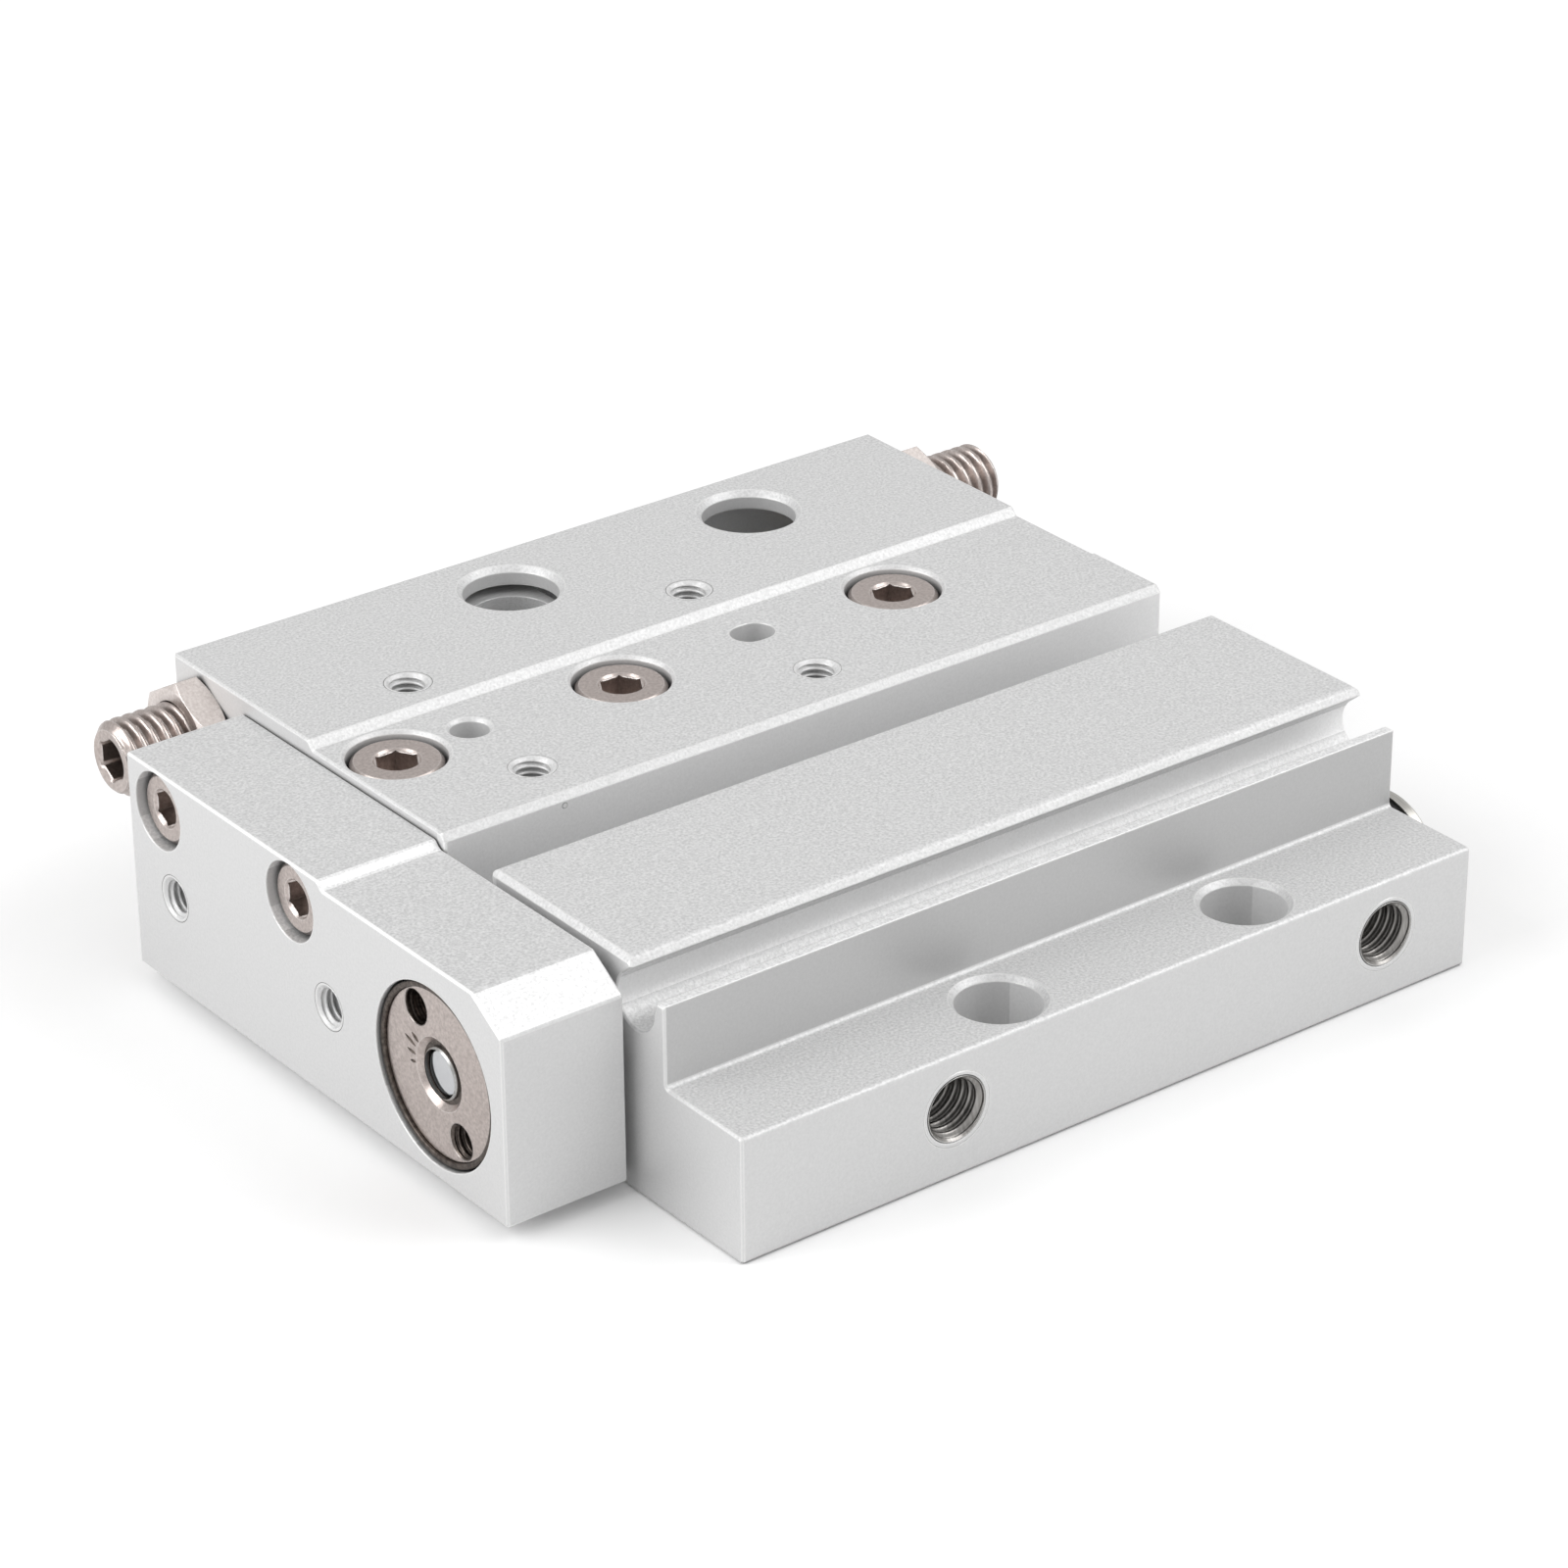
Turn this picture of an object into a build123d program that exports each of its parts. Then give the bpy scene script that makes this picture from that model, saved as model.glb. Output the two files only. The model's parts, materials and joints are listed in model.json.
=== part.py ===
from build123d import *
import os
from math import cos, radians, sin

# Low-profile pneumatic slide table, in millimetres.
# X runs along the stroke, with the end plate on the low side and the rear face on the high side.
# Y runs from the air ports (near side) to the stroke adjusters (far side), and Z is up.
# Every place below is measured from the body's front, near, bottom corner, and the whole
# model is moved at the end, so that the origin is the middle of the four mounting holes.

# Stroke and the fits between the pieces
stroke = 30.0
slide_fit = 0.04
rolling_gap = 0.05
contact_gap = 0.05
seat_gap = 0.05
seal_gap = 0.02
head_clearance = 0.3
thread_spare = 0.5
groove_overcut = 1.0
edge_break = 0.25
fine_edge = 0.15

# Body section, from the near side to the far side and from the bottom up
body_length = 67.4
near_flange_width = 8.55
flange_height = 9.9
lip_top_width = 0.85
lip_rise = 0.95
groove_y = 11.85
groove_radius = 2.1
groove_depth = 3.05
block_tip_y = 12.2
tip_drop = 0.6
tip_round = 0.9
block_far_y = 28.8
block_height = 18.3
valley_width = 5.1
valley_height = 8.5
channel_floor = 5.0
far_flange_width = 10.8
section_round = 0.35
block_end_chamfer = 0.4

# Body mounting holes, with a dowel hole and a slot underneath
mount_first_x = 25.7
mount_spacing_x = 23.0
mount_near_y = 4.1
mount_far_inset = 6.1
mount_hole_radius = 1.7
mount_head_radius = 3.2
mount_head_depth = 5.4
mount_mouth_chamfer = 0.4
dowel_radius = 1.5
dowel_depth = 3.0
dowel_slot_length = 4.0

# Air ports and passages
port_x_front = 18.6
port_x_rear = 59.1
port_height = 5.45
port_radius = 2.5
port_depth = 5.5
port_chamfer = 0.45
passage_radius = 1.2
rear_port_y = 9.5
rear_port_depth = 5.0
rear_passage_radius = 0.6

# Plug of the rear port
plug_head_radius = 4.8
plug_head_height = 1.0
plug_gasket_thickness = 0.4
plug_thread_length = 4.0
plug_flats = 2.5
plug_socket_depth = 2.2

# Cylinder
bore_y = 20.55
bore_z = 9.3
bore_radius = 4.0
cover_radius = 5.5
rod_radius = 2.0
rod_cover_start = 1.9
rod_cover_length = 13.1
rear_plug_length = 3.2
rear_plug_recess = 1.8
snap_ring_width = 0.8
snap_ring_bite = 0.5
snap_ring_height = 0.9
snap_ring_opening = 60.0
o_ring_section = 1.0
o_ring_groove_width = 1.4
rod_seal_height = 1.3
rod_seal_length = 1.8
wiper_height = 1.1
wiper_length = 1.2
piston_length = 10.0
piston_rest_gap = 1.2
piston_clearance = 0.06
piston_neck_radius = 1.5
piston_seal_width = 1.5
piston_seal_height = 1.1
piston_groove_margin = 1.3
magnet_width = 3.0
magnet_height = 1.2
magnet_sink = 0.1
bumper_length = 1.0
bumper_radius = 3.4
bumper_rod_gap = 0.4

# Crossed roller guide
fixed_rail_width = 5.5
fixed_rail_height = 6.9
fixed_rail_front_gap = 0.8
fixed_rail_rear_gap = 1.2
moving_rail_width = 11.0
moving_rail_floor_gap = 0.6
moving_rail_front_gap = 1.15
moving_rail_rear_gap = 1.65
rail_spacing = 1.0
far_rail_gap = 0.5
roller_radius = 1.0
roller_length = 1.7
roller_pitch = 3.0
roller_count = 10
cage_thickness = 0.4
cage_height = 4.4
cage_margin = 1.0
rail_screw_inset = 8.0
rail_screw_count = 3
rail_screw_thread = 3.5
preload_screw_count = 3
preload_screw_inset = 4.6
preload_screw_length = 5.0
preload_screw_radius = 1.25
preload_screw_flats = 1.3
preload_screw_rise = 2.4

# Table
table_front_gap = 0.85
table_length = 66.8
table_clearance = 0.5
table_thickness = 7.0
table_step = 0.6
table_step_offset = 4.9
table_near_overhang = 0.7
table_edge_chamfer = 0.5
table_rear_relief = 0.35
table_relief_offset = 4.9
adjuster_skin = 1.5
adjuster_bay_gap = 0.5
adjuster_wall = 5.0
adjuster_wall_rise = 0.9
access_radius = 3.75
access_chamfer = 0.45
table_hole_x = 10.2
table_hole_offset = 0.3
table_hole_spacing_x = 26.0
table_hole_spacing_y = 16.0
tapped_radius = 1.5
tapped_depth = 5.0
tapped_chamfer = 0.3
table_dowel_slot_length = 3.6
table_screw_x = (3.6, 23.7, 49.6)
table_screw_recess = 0.4
table_screw_tip_gap = 1.0

# End plate
plate_thickness = 10.1
plate_near_y = 12.0
plate_far_gap = 5.9
plate_bottom = 1.25
plate_low_drop = 0.1
plate_step = 0.55
plate_step_inset = 0.5
plate_chamfer_width = 3.4
plate_chamfer_height = 2.2
plate_screw_offsets = (-7.9, 9.65)
plate_screw_drop = 3.25
plate_screw_recess = 0.6
plate_screw_thread = 5.5
plate_hole_offsets = (-12.4, 8.0)
plate_hole_z = 9.0
plate_hole_depth = 6.0

# Floating joint on the rod end: a flanged sleeve behind the plate and a round nut in front
rod_nut_bore_radius = 7.0
rod_nut_radius = 6.5
rod_nut_recess = 0.5
rod_nut_thickness = 3.0
rod_nut_mouth_radius = 2.75
rod_nut_mouth_depth = 0.9
spanner_hole_radius = 1.35
spanner_hole_circle = 4.9
spanner_hole_turn = 149.5
spanner_hole_depth = 2.0
float_gap = 0.1
sleeve_bore_radius = 4.6
sleeve_radius = 4.3
sleeve_rear_gap = 0.4
sleeve_flange_radius = 5.6
sleeve_flange_thickness = 1.4
rod_end_recess = 0.4
rod_neck_radius = 1.85

# Stroke adjusters and the stopper that they strike
adjuster_inset = 3.7
adjuster_rise = 5.1
adjuster_radius = 3.0
adjuster_front_reach = 8.1
adjuster_rear_reach = 8.9
adjuster_chamfer = 0.6
adjuster_socket_flats = 3.0
adjuster_socket_depth = 3.0
tip_radius = 1.8
tip_reach = 0.5
tip_depth = 2.5
lock_nut_flats = 8.0
lock_nut_thickness = 2.5
nut_bevel_slope = 0.6
stopper_front_x = 5.7
stopper_near_gap = 1.2
stopper_far_inset = 0.7
stopper_top_gap = 0.75
stopper_screw_x = (10.4, 17.6)
stopper_screw_thread = 6.0

# Socket head screws: shank radius, head radius, head height, hexagon across flats
m2_shank = 1.0
m2_head = 1.9
m2_head_height = 2.0
m2_flats = 1.5
m3_shank = 1.5
m3_head = 2.75
m3_head_height = 3.0
m3_flats = 2.5
m4_shank = 2.0
m4_head = 3.5
m4_head_height = 4.0
m4_flats = 3.0
head_bevel = 0.3
socket_share = 0.55
socket_bevel = 0.2


def evenly(first, last, count):
    """Evenly spaced places from the first to the last."""
    return [first + (last - first) * i / (count - 1) for i in range(count)]


# Places across the body that follow from the sizes above
channel_near_y = block_far_y + valley_width
guide_mid_y = channel_near_y + fixed_rail_width + rail_spacing + moving_rail_width / 2
moving_rail_span = (guide_mid_y - moving_rail_width / 2, guide_mid_y + moving_rail_width / 2)
near_rail_span = (channel_near_y, channel_near_y + fixed_rail_width)
far_rail_near_y = moving_rail_span[1] + rail_spacing
far_rail_span = (far_rail_near_y, far_rail_near_y + fixed_rail_width)
roller_rows_y = (moving_rail_span[0] - rail_spacing / 2, moving_rail_span[1] + rail_spacing / 2)
channel_far_y = far_rail_span[1] + far_rail_gap
body_width = channel_far_y + far_flange_width
mount_y = (mount_near_y, body_width - mount_far_inset)
rail_screw_y = (sum(near_rail_span) / 2, sum(far_rail_span) / 2)
table_near_y = channel_near_y - table_near_overhang
table_hole_y = guide_mid_y + table_hole_offset
adjuster_y = body_width - adjuster_inset
adjuster_bay_y = channel_far_y + adjuster_bay_gap
plate_far_y = adjuster_y - plate_far_gap
plate_screw_y = [guide_mid_y + offset for offset in plate_screw_offsets]
plate_hole_y = [guide_mid_y + offset for offset in plate_hole_offsets]

# Heights
groove_z = block_height - groove_depth
lip_height = groove_z + lip_rise
roller_z = channel_floor + fixed_rail_height / 2
moving_rail_bottom = channel_floor + moving_rail_floor_gap
preload_screw_z = channel_floor + preload_screw_rise
table_bottom = channel_floor + fixed_rail_height + table_clearance
table_low_top = table_bottom + table_thickness
table_high_top = table_low_top + table_step
adjuster_z = flange_height + adjuster_rise
adjuster_skin_bottom = table_high_top - adjuster_skin
adjuster_wall_bottom = flange_height + adjuster_wall_rise
stopper_top = adjuster_skin_bottom - stopper_top_gap
plate_low_top = block_height - plate_low_drop
plate_high_top = plate_low_top + plate_step
plate_screw_z = plate_high_top - plate_screw_drop

# Places along the stroke
mount_x = (mount_first_x, mount_first_x + mount_spacing_x)
table_front = -table_front_gap
table_rear = table_front + table_length
adjuster_face = table_rear - table_rear_relief
plate_front = table_front - plate_thickness
bore_front = rod_cover_start + rod_cover_length
bore_rear = body_length - rear_plug_recess - rear_plug_length
piston_rear = bore_rear - piston_rest_gap
piston_front = piston_rear - piston_length
piston_seal_starts = (piston_groove_margin, piston_length - piston_groove_margin - piston_seal_width)
magnet_start = (piston_length - magnet_width) / 2
rod_nut_x = plate_front + rod_nut_recess
rod_nut_bore_depth = rod_nut_recess + rod_nut_thickness + float_gap
rod_end_x = rod_nut_x + rod_end_recess
sleeve_rear_x = table_front - sleeve_rear_gap
sleeve_flange_room = sleeve_rear_gap + sleeve_flange_thickness + float_gap
fixed_rail_start = fixed_rail_front_gap
fixed_rail_end = body_length - fixed_rail_rear_gap
moving_rail_start = table_front + moving_rail_front_gap
moving_rail_end = table_rear - moving_rail_rear_gap
moving_rail_middle = (moving_rail_start + moving_rail_end) / 2
cage_length = roller_pitch * (roller_count - 1) + roller_length + 2 * cage_margin
roller_reach = roller_pitch * (roller_count - 1) / 2
roller_x = evenly(moving_rail_middle - roller_reach, moving_rail_middle + roller_reach, roller_count)
rail_screw_x = evenly(fixed_rail_start + rail_screw_inset, fixed_rail_end - rail_screw_inset, rail_screw_count)
preload_screw_x = evenly(preload_screw_inset, body_length - preload_screw_inset, preload_screw_count)
front_bolt_outer = table_front - adjuster_front_reach
front_bolt_inner = stopper_front_x - contact_gap - tip_reach
bolt_length = front_bolt_inner - front_bolt_outer
rear_bolt_outer = adjuster_face + adjuster_rear_reach
rear_bolt_inner = rear_bolt_outer - bolt_length
stopper_rear_x = rear_bolt_inner - tip_reach - contact_gap - stroke

# Radii
piston_radius = bore_radius - piston_clearance
o_ring_floor = cover_radius - o_ring_section
rear_plug_groove = (rear_plug_length - o_ring_groove_width) / 2
low = (Align.MIN, Align.MIN, Align.MIN)
end_on = (Align.CENTER, Align.CENTER, Align.MIN)


def block(x0, x1, y0, y1, z0, z1):
    """A rectangular block between two corners."""
    return Pos(x0, y0, z0) * Box(x1 - x0, y1 - y0, z1 - z0, align=low)


def along_x(x, y, z):
    """A place whose local Z points along +X."""
    return Pos(x, y, z) * Rot(0, 90, 0)


def against_x(x, y, z):
    """A place whose local Z points along -X."""
    return Pos(x, y, z) * Rot(0, -90, 0)


def along_y(x, y, z):
    """A place whose local Z points along +Y."""
    return Pos(x, y, z) * Rot(-90, 0, 0)


def down(x, y, z):
    """A place whose local Z points down."""
    return Pos(x, y, z) * Rot(180, 0, 0)


def turned(points):
    """A turned solid: a closed outline of (radius, height) points spun about Z."""
    with BuildPart() as spun:
        with BuildSketch(Plane.XZ):
            with BuildLine():
                Polyline(*points, close=True)
            make_face()
        revolve(axis=Axis.Z)
    return spun.part


def rod(radius, length):
    """A plain cylinder standing on its end."""
    return Cylinder(radius, length, align=end_on)


def ring(outer, inner, length):
    """A plain ring standing on its end."""
    return rod(outer, length) - rod(inner, length)


def groove(outer, inner, start, width):
    """What a turning tool removes: a ring from an outer radius past the surface inwards."""
    return Pos(0, 0, start) * ring(outer + groove_overcut, inner, width)


def hole(radius, depth, chamfer_size):
    """A drilled hole's shape, going up from its mouth, which has a chamfer."""
    rim = radius + chamfer_size
    return turned([(0, 0), (rim, 0), (radius, chamfer_size), (radius, depth), (0, depth)])


def hexagon(flats, height):
    """A hexagonal prism with a corner on local X."""
    return extrude(RegularPolygon(flats / 2, 6, major_radius=False), height)


def socket_mouth(flats):
    """The small countersink round a hexagon socket, with its wide end at z = 0."""
    corner = flats / 3 ** 0.5
    return turned([(0, 0), (corner + socket_bevel / 2, 0), (corner - socket_bevel / 2, socket_bevel), (0, socket_bevel)])


def socket_screw(head, height, flats, shank, length):
    """A socket head screw with its head's top at z = 0, pointing up into the work."""
    tip = height + length
    outline = [(0, 0), (head - head_bevel, 0), (head, head_bevel), (head, height), (shank, height)]
    outline += [(shank, tip - head_bevel), (shank - head_bevel, tip), (0, tip)]
    return turned(outline) - hexagon(flats, height * socket_share) - socket_mouth(flats)


def set_screw(radius, flats, length):
    """A headless screw with its socket at the far end."""
    socket = length * socket_share
    return rod(radius, length) - Pos(0, 0, length - socket) * hexagon(flats, socket)


def group(pieces):
    """Separate like pieces that share one node."""
    return Compound(children=list(pieces))


def prism(outline, x0, length):
    """A section given by (y, z) points, run along X."""
    return Pos(x0, 0, 0) * extrude(Plane.YZ * make_face(Polyline(*outline, close=True)), length)


def vertices_at(section, places):
    """The corners of a flat section that lie at the given places."""
    return [v for v in section.vertices() if any(abs(v.X - y) + abs(v.Y - z) < seal_gap for y, z in places)]


def ends_broken(shape):
    """A prism along X with the edges of both its end faces broken."""
    by_x = shape.faces().sort_by(Axis.X)
    return chamfer(by_x[0].edges() + by_x[-1].edges(), fine_edge)


def body_section():
    """The extruded section of the body, drawn in the YZ plane."""
    flank = groove_radius * cos(radians(45))
    outline = [
        (0, 0),
        (0, flange_height),
        (near_flange_width, flange_height),
        (near_flange_width, lip_height),
        (near_flange_width + lip_top_width, lip_height),
        (groove_y - groove_radius, groove_z),
        (groove_y, groove_z),
        (groove_y + flank, groove_z + flank),
        (block_tip_y, block_height - tip_drop),
        (block_tip_y + tip_drop, block_height),
        (block_far_y, block_height),
        (block_far_y, valley_height),
        (channel_near_y, valley_height),
        (channel_near_y, channel_floor),
        (channel_far_y, channel_floor),
        (channel_far_y, flange_height),
        (body_width, flange_height),
        (body_width, 0),
    ]
    section = make_face(Polyline(*outline, close=True)) - Pos(groove_y, groove_z) * Circle(groove_radius)
    corners = [(0, 0), (0, flange_height), (near_flange_width, flange_height)]
    corners += [(block_far_y, block_height), (body_width, flange_height), (body_width, 0)]
    section = fillet(vertices_at(section, corners), section_round)
    return fillet(vertices_at(section, [(block_tip_y + tip_drop, block_height)]), tip_round)


def block_end_bevels():
    """What is cut off both ends of the cylinder block's top."""
    low_z, high_z = block_height - block_end_chamfer, block_height + block_end_chamfer
    cuts = []
    for x, way in ((0, 1), (body_length, -1)):
        corner = [(x, low_z), (x + 2 * way * block_end_chamfer, high_z), (x - way * block_end_chamfer, high_z)]
        cuts.append(extrude(Plane.XZ * make_face(Polyline(*corner, close=True)), -body_width))
    return cuts


def make_body():
    """The extruded and machined aluminium body."""
    shape = ends_broken(extrude(Plane.YZ * body_section(), body_length))
    for cut in block_end_bevels():
        shape -= cut
    # The bore, the pockets of its two covers and the grooves of the snap rings
    shape -= along_x(0, bore_y, bore_z) * rod(bore_radius, body_length)
    shape -= along_x(0, bore_y, bore_z) * rod(cover_radius, bore_front)
    shape -= along_x(bore_rear, bore_y, bore_z) * rod(cover_radius, body_length - bore_rear)
    for x in (rod_cover_start - snap_ring_width, bore_rear + rear_plug_length):
        shape -= along_x(x, bore_y, bore_z) * rod(cover_radius + snap_ring_bite, snap_ring_width)
    # The front port opens into the bore; the rear one turns to the rear port and to the bore's end.
    for x, reach in ((port_x_front, bore_y), (port_x_rear, rear_port_y)):
        shape -= along_y(x, 0, port_height) * hole(port_radius, port_depth, port_chamfer)
        shape -= along_y(x, 0, port_height) * rod(passage_radius, reach)
    rear_mouth = against_x(body_length, rear_port_y, port_height)
    shape -= rear_mouth * hole(port_radius, rear_port_depth, edge_break)
    shape -= rear_mouth * rod(passage_radius, body_length - port_x_rear)
    rear_cross = along_y(bore_rear - rear_passage_radius - fine_edge, rear_port_y, port_height)
    shape -= rear_cross * rod(rear_passage_radius, bore_y - rear_port_y)
    # Four counterbored mounting holes, with a dowel hole and a slot underneath
    for x in mount_x:
        for y in mount_y:
            shape -= down(x, y, flange_height) * hole(mount_head_radius, mount_head_depth, mount_mouth_chamfer)
            shape -= Pos(x, y, 0) * rod(mount_hole_radius, flange_height)
    dowel_y = sum(mount_y) / 2
    shape -= Pos(mount_x[0], dowel_y, 0) * rod(dowel_radius, dowel_depth)
    shape -= Pos(mount_x[1], dowel_y, 0) * extrude(SlotOverall(dowel_slot_length, 2 * dowel_radius), dowel_depth)
    # Holes for the rails' screws from below, the set screws at the side and the stopper's screws
    for x in rail_screw_x:
        for y in rail_screw_y:
            head_room = m2_head_height + head_clearance
            shape -= Pos(x, y, 0) * rod(m2_head + head_clearance, head_room)
            shape -= Pos(x, y, 0) * rod(m2_shank + slide_fit, channel_floor)
    for x in preload_screw_x:
        side = along_y(x, channel_far_y, preload_screw_z)
        shape -= side * rod(preload_screw_radius, body_width - channel_far_y)
    for x in stopper_screw_x:
        shape -= down(x, mount_y[1], flange_height) * rod(m3_shank, stopper_screw_thread + thread_spare)
    return shape


def v_groove(length):
    """The square channel, on its corner, that the rollers fill but for the rolling gap."""
    side = 2 * (roller_radius + rolling_gap)
    return Rot(0, 90, 0) * extrude(Rot(0, 0, 45) * Rectangle(side, side), length)


def make_fixed_rail(span, row_y):
    """One fixed rail of the guide, with its groove and tapped holes."""
    shape = block(fixed_rail_start, fixed_rail_end, *span, channel_floor, channel_floor + fixed_rail_height)
    shape -= Pos(fixed_rail_start, row_y, roller_z) * v_groove(fixed_rail_end - fixed_rail_start)
    for x in rail_screw_x:
        shape -= Pos(x, sum(span) / 2, channel_floor) * rod(m2_shank, rail_screw_thread + thread_spare)
    return shape


def make_moving_rail():
    """The middle rail, which hangs under the table."""
    shape = block(moving_rail_start, moving_rail_end, *moving_rail_span, moving_rail_bottom, table_bottom)
    for row_y in roller_rows_y:
        shape -= Pos(moving_rail_start, row_y, roller_z) * v_groove(moving_rail_end - moving_rail_start)
    for x in table_screw_x:
        shape -= down(x, guide_mid_y, table_bottom) * rod(m4_shank, table_bottom - moving_rail_bottom)
    return shape


def make_rollers(row_y):
    """A row of rollers whose axes lean to either side in turn."""
    leans = [45 if i % 2 else -45 for i in range(roller_count)]
    spots = [Pos(x, row_y, roller_z) * Rot(lean, 0, 0) for x, lean in zip(roller_x, leans)]
    return group(spot * Cylinder(roller_radius, roller_length) for spot in spots)


def make_cage(row_y):
    """The strip that keeps a row of rollers apart."""
    shape = Pos(moving_rail_middle, row_y, roller_z) * Box(cage_length, cage_thickness, cage_height)
    window = 2 * (roller_radius + slide_fit)
    for x in roller_x:
        shape -= Pos(x, row_y, roller_z) * Box(window, cage_thickness, window * 2 ** 0.5)
    return shape


def make_table():
    """The slide table: a thick plate with an open bay for the adjusters along its far side."""
    step_y = guide_mid_y + table_step_offset
    shape = prism([
        (table_near_y, table_bottom),
        (table_near_y, table_low_top - table_edge_chamfer),
        (table_near_y + table_edge_chamfer, table_low_top),
        (step_y - table_step, table_low_top),
        (step_y, table_high_top),
        (body_width, table_high_top),
        (body_width, table_bottom),
    ], table_front, table_length)
    shape = ends_broken(shape)
    bay_rear = adjuster_face - adjuster_wall
    for x in (table_front, bay_rear):
        shape += block(x, x + adjuster_wall, adjuster_bay_y, body_width, adjuster_wall_bottom, table_bottom)
    bay = (table_front + adjuster_wall, bay_rear, adjuster_bay_y, body_width)
    shape -= block(*bay, adjuster_wall_bottom, adjuster_skin_bottom)
    thread = rod(adjuster_radius + slide_fit, adjuster_wall)
    for x in (table_front, bay_rear):
        shape -= along_x(x, adjuster_y, adjuster_z) * thread
    # The rear end is set back behind the adjusters' side.
    relief = (adjuster_face, table_rear, guide_mid_y - table_relief_offset, body_width)
    shape -= block(*relief, adjuster_wall_bottom, table_high_top)
    # Access holes over the far mounting holes
    for x in mount_x:
        skin = table_high_top - table_bottom
        shape -= down(x, mount_y[1], table_high_top) * hole(access_radius, skin, access_chamfer)
    # Counterbored holes for the screws that hold the moving rail
    for x in table_screw_x:
        seat = table_screw_recess + m4_head_height
        top = down(x, guide_mid_y, table_low_top)
        shape -= top * hole(m4_head + head_clearance, seat, edge_break)
        shape -= top * rod(m4_shank + head_clearance, table_low_top - table_bottom)
    # Four tapped holes, with a dowel hole and a slot between them
    tapped_hole = hole(tapped_radius, tapped_depth, tapped_chamfer)
    for x in (table_hole_x, table_hole_x + table_hole_spacing_x):
        half = table_hole_spacing_y / 2
        shape -= down(x, table_hole_y - half, table_low_top) * tapped_hole
        shape -= down(x, table_hole_y + half, table_high_top) * tapped_hole
    shape -= down(table_hole_x, table_hole_y, table_low_top) * hole(dowel_radius, dowel_depth, edge_break)
    slot = extrude(SlotOverall(table_dowel_slot_length, 2 * dowel_radius), dowel_depth)
    shape -= down(table_hole_x + table_hole_spacing_x, table_hole_y, table_low_top) * slot
    # Tapped holes in the front end for the end plate's screws
    for y in plate_screw_y:
        reach = plate_screw_thread + thread_spare
        shape -= along_x(table_front, y, plate_screw_z) * rod(m3_shank, reach)
    return shape


def make_end_plate():
    """The end plate that carries the rod end and closes the table's front."""
    step_y = table_near_y + plate_step_inset
    shape = prism([
        (plate_near_y, plate_bottom),
        (plate_near_y, plate_low_top - plate_chamfer_height),
        (plate_near_y + plate_chamfer_width, plate_low_top),
        (step_y, plate_low_top),
        (step_y + plate_step, plate_high_top),
        (plate_far_y, plate_high_top),
        (plate_far_y, plate_bottom),
    ], plate_front, plate_thickness)
    shape = chamfer(shape.edges(), fine_edge)
    for y in plate_screw_y:
        front = along_x(plate_front, y, plate_screw_z)
        shape -= front * rod(m3_head + head_clearance, plate_screw_recess + m3_head_height)
        shape -= front * rod(m3_shank + slide_fit, plate_thickness)
    for y in plate_hole_y:
        shape -= along_x(plate_front, y, plate_hole_z) * hole(tapped_radius, plate_hole_depth, tapped_chamfer)
    # A bore for the round nut, a rear bore for the sleeve's flange and a hole between them
    shape -= along_x(plate_front, bore_y, bore_z) * rod(rod_nut_bore_radius, rod_nut_bore_depth)
    shape -= along_x(plate_front, bore_y, bore_z) * rod(sleeve_bore_radius, plate_thickness)
    rear = against_x(table_front, bore_y, bore_z)
    shape -= rear * rod(sleeve_flange_radius + head_clearance, sleeve_flange_room)
    return shape


def make_rod_nut():
    """The round nut on the rod end, with two holes for a pin spanner."""
    outline = [
        (rod_nut_mouth_radius, 0),
        (rod_nut_radius - fine_edge, 0),
        (rod_nut_radius, fine_edge),
        (rod_nut_radius, rod_nut_thickness),
        (rod_neck_radius, rod_nut_thickness),
        (rod_neck_radius, rod_nut_mouth_depth),
    ]
    shape = turned(outline)
    for turn in (0, 180):
        spanner_place = Rot(0, 0, turn + spanner_hole_turn) * Pos(spanner_hole_circle, 0, 0)
        shape -= spanner_place * rod(spanner_hole_radius, spanner_hole_depth)
    return along_x(rod_nut_x, bore_y, bore_z) * shape


def make_sleeve():
    """The flanged sleeve that floats in the end plate and is clamped by the round nut."""
    length = sleeve_rear_x - rod_nut_x - rod_nut_thickness
    outline = [
        (rod_neck_radius, 0),
        (sleeve_radius, 0),
        (sleeve_radius, length - sleeve_flange_thickness),
        (sleeve_flange_radius, length - sleeve_flange_thickness),
        (sleeve_flange_radius, length),
        (rod_neck_radius, length),
    ]
    return along_x(rod_nut_x + rod_nut_thickness, bore_y, bore_z) * turned(outline)


def make_piston_rod():
    """The rod, from its threaded end in the round nut to the piston."""
    shoulder = sleeve_rear_x - rod_end_x
    seat = piston_front - rod_end_x
    end = piston_rear - rod_end_x
    outline = [
        (0, 0),
        (rod_neck_radius - edge_break, 0),
        (rod_neck_radius, edge_break),
        (rod_neck_radius, shoulder),
        (rod_radius, shoulder),
        (rod_radius, seat),
        (piston_neck_radius, seat),
        (piston_neck_radius, end),
        (0, end),
    ]
    return along_x(rod_end_x, bore_y, bore_z) * turned(outline)


def make_piston():
    """The piston, with a groove for the magnet between its two seal grooves."""
    shape = ring(piston_radius, piston_neck_radius, piston_length)
    for start in piston_seal_starts:
        shape -= groove(piston_radius, piston_radius - piston_seal_height, start, piston_seal_width)
    shape -= groove(piston_radius, piston_radius - magnet_height, magnet_start, magnet_width)
    return along_x(piston_front, bore_y, bore_z) * shape


def make_piston_seals():
    """The two seals of the piston."""
    seal = ring(bore_radius - seal_gap, piston_radius - piston_seal_height, piston_seal_width)
    return group(along_x(piston_front + start, bore_y, bore_z) * seal for start in piston_seal_starts)


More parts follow.
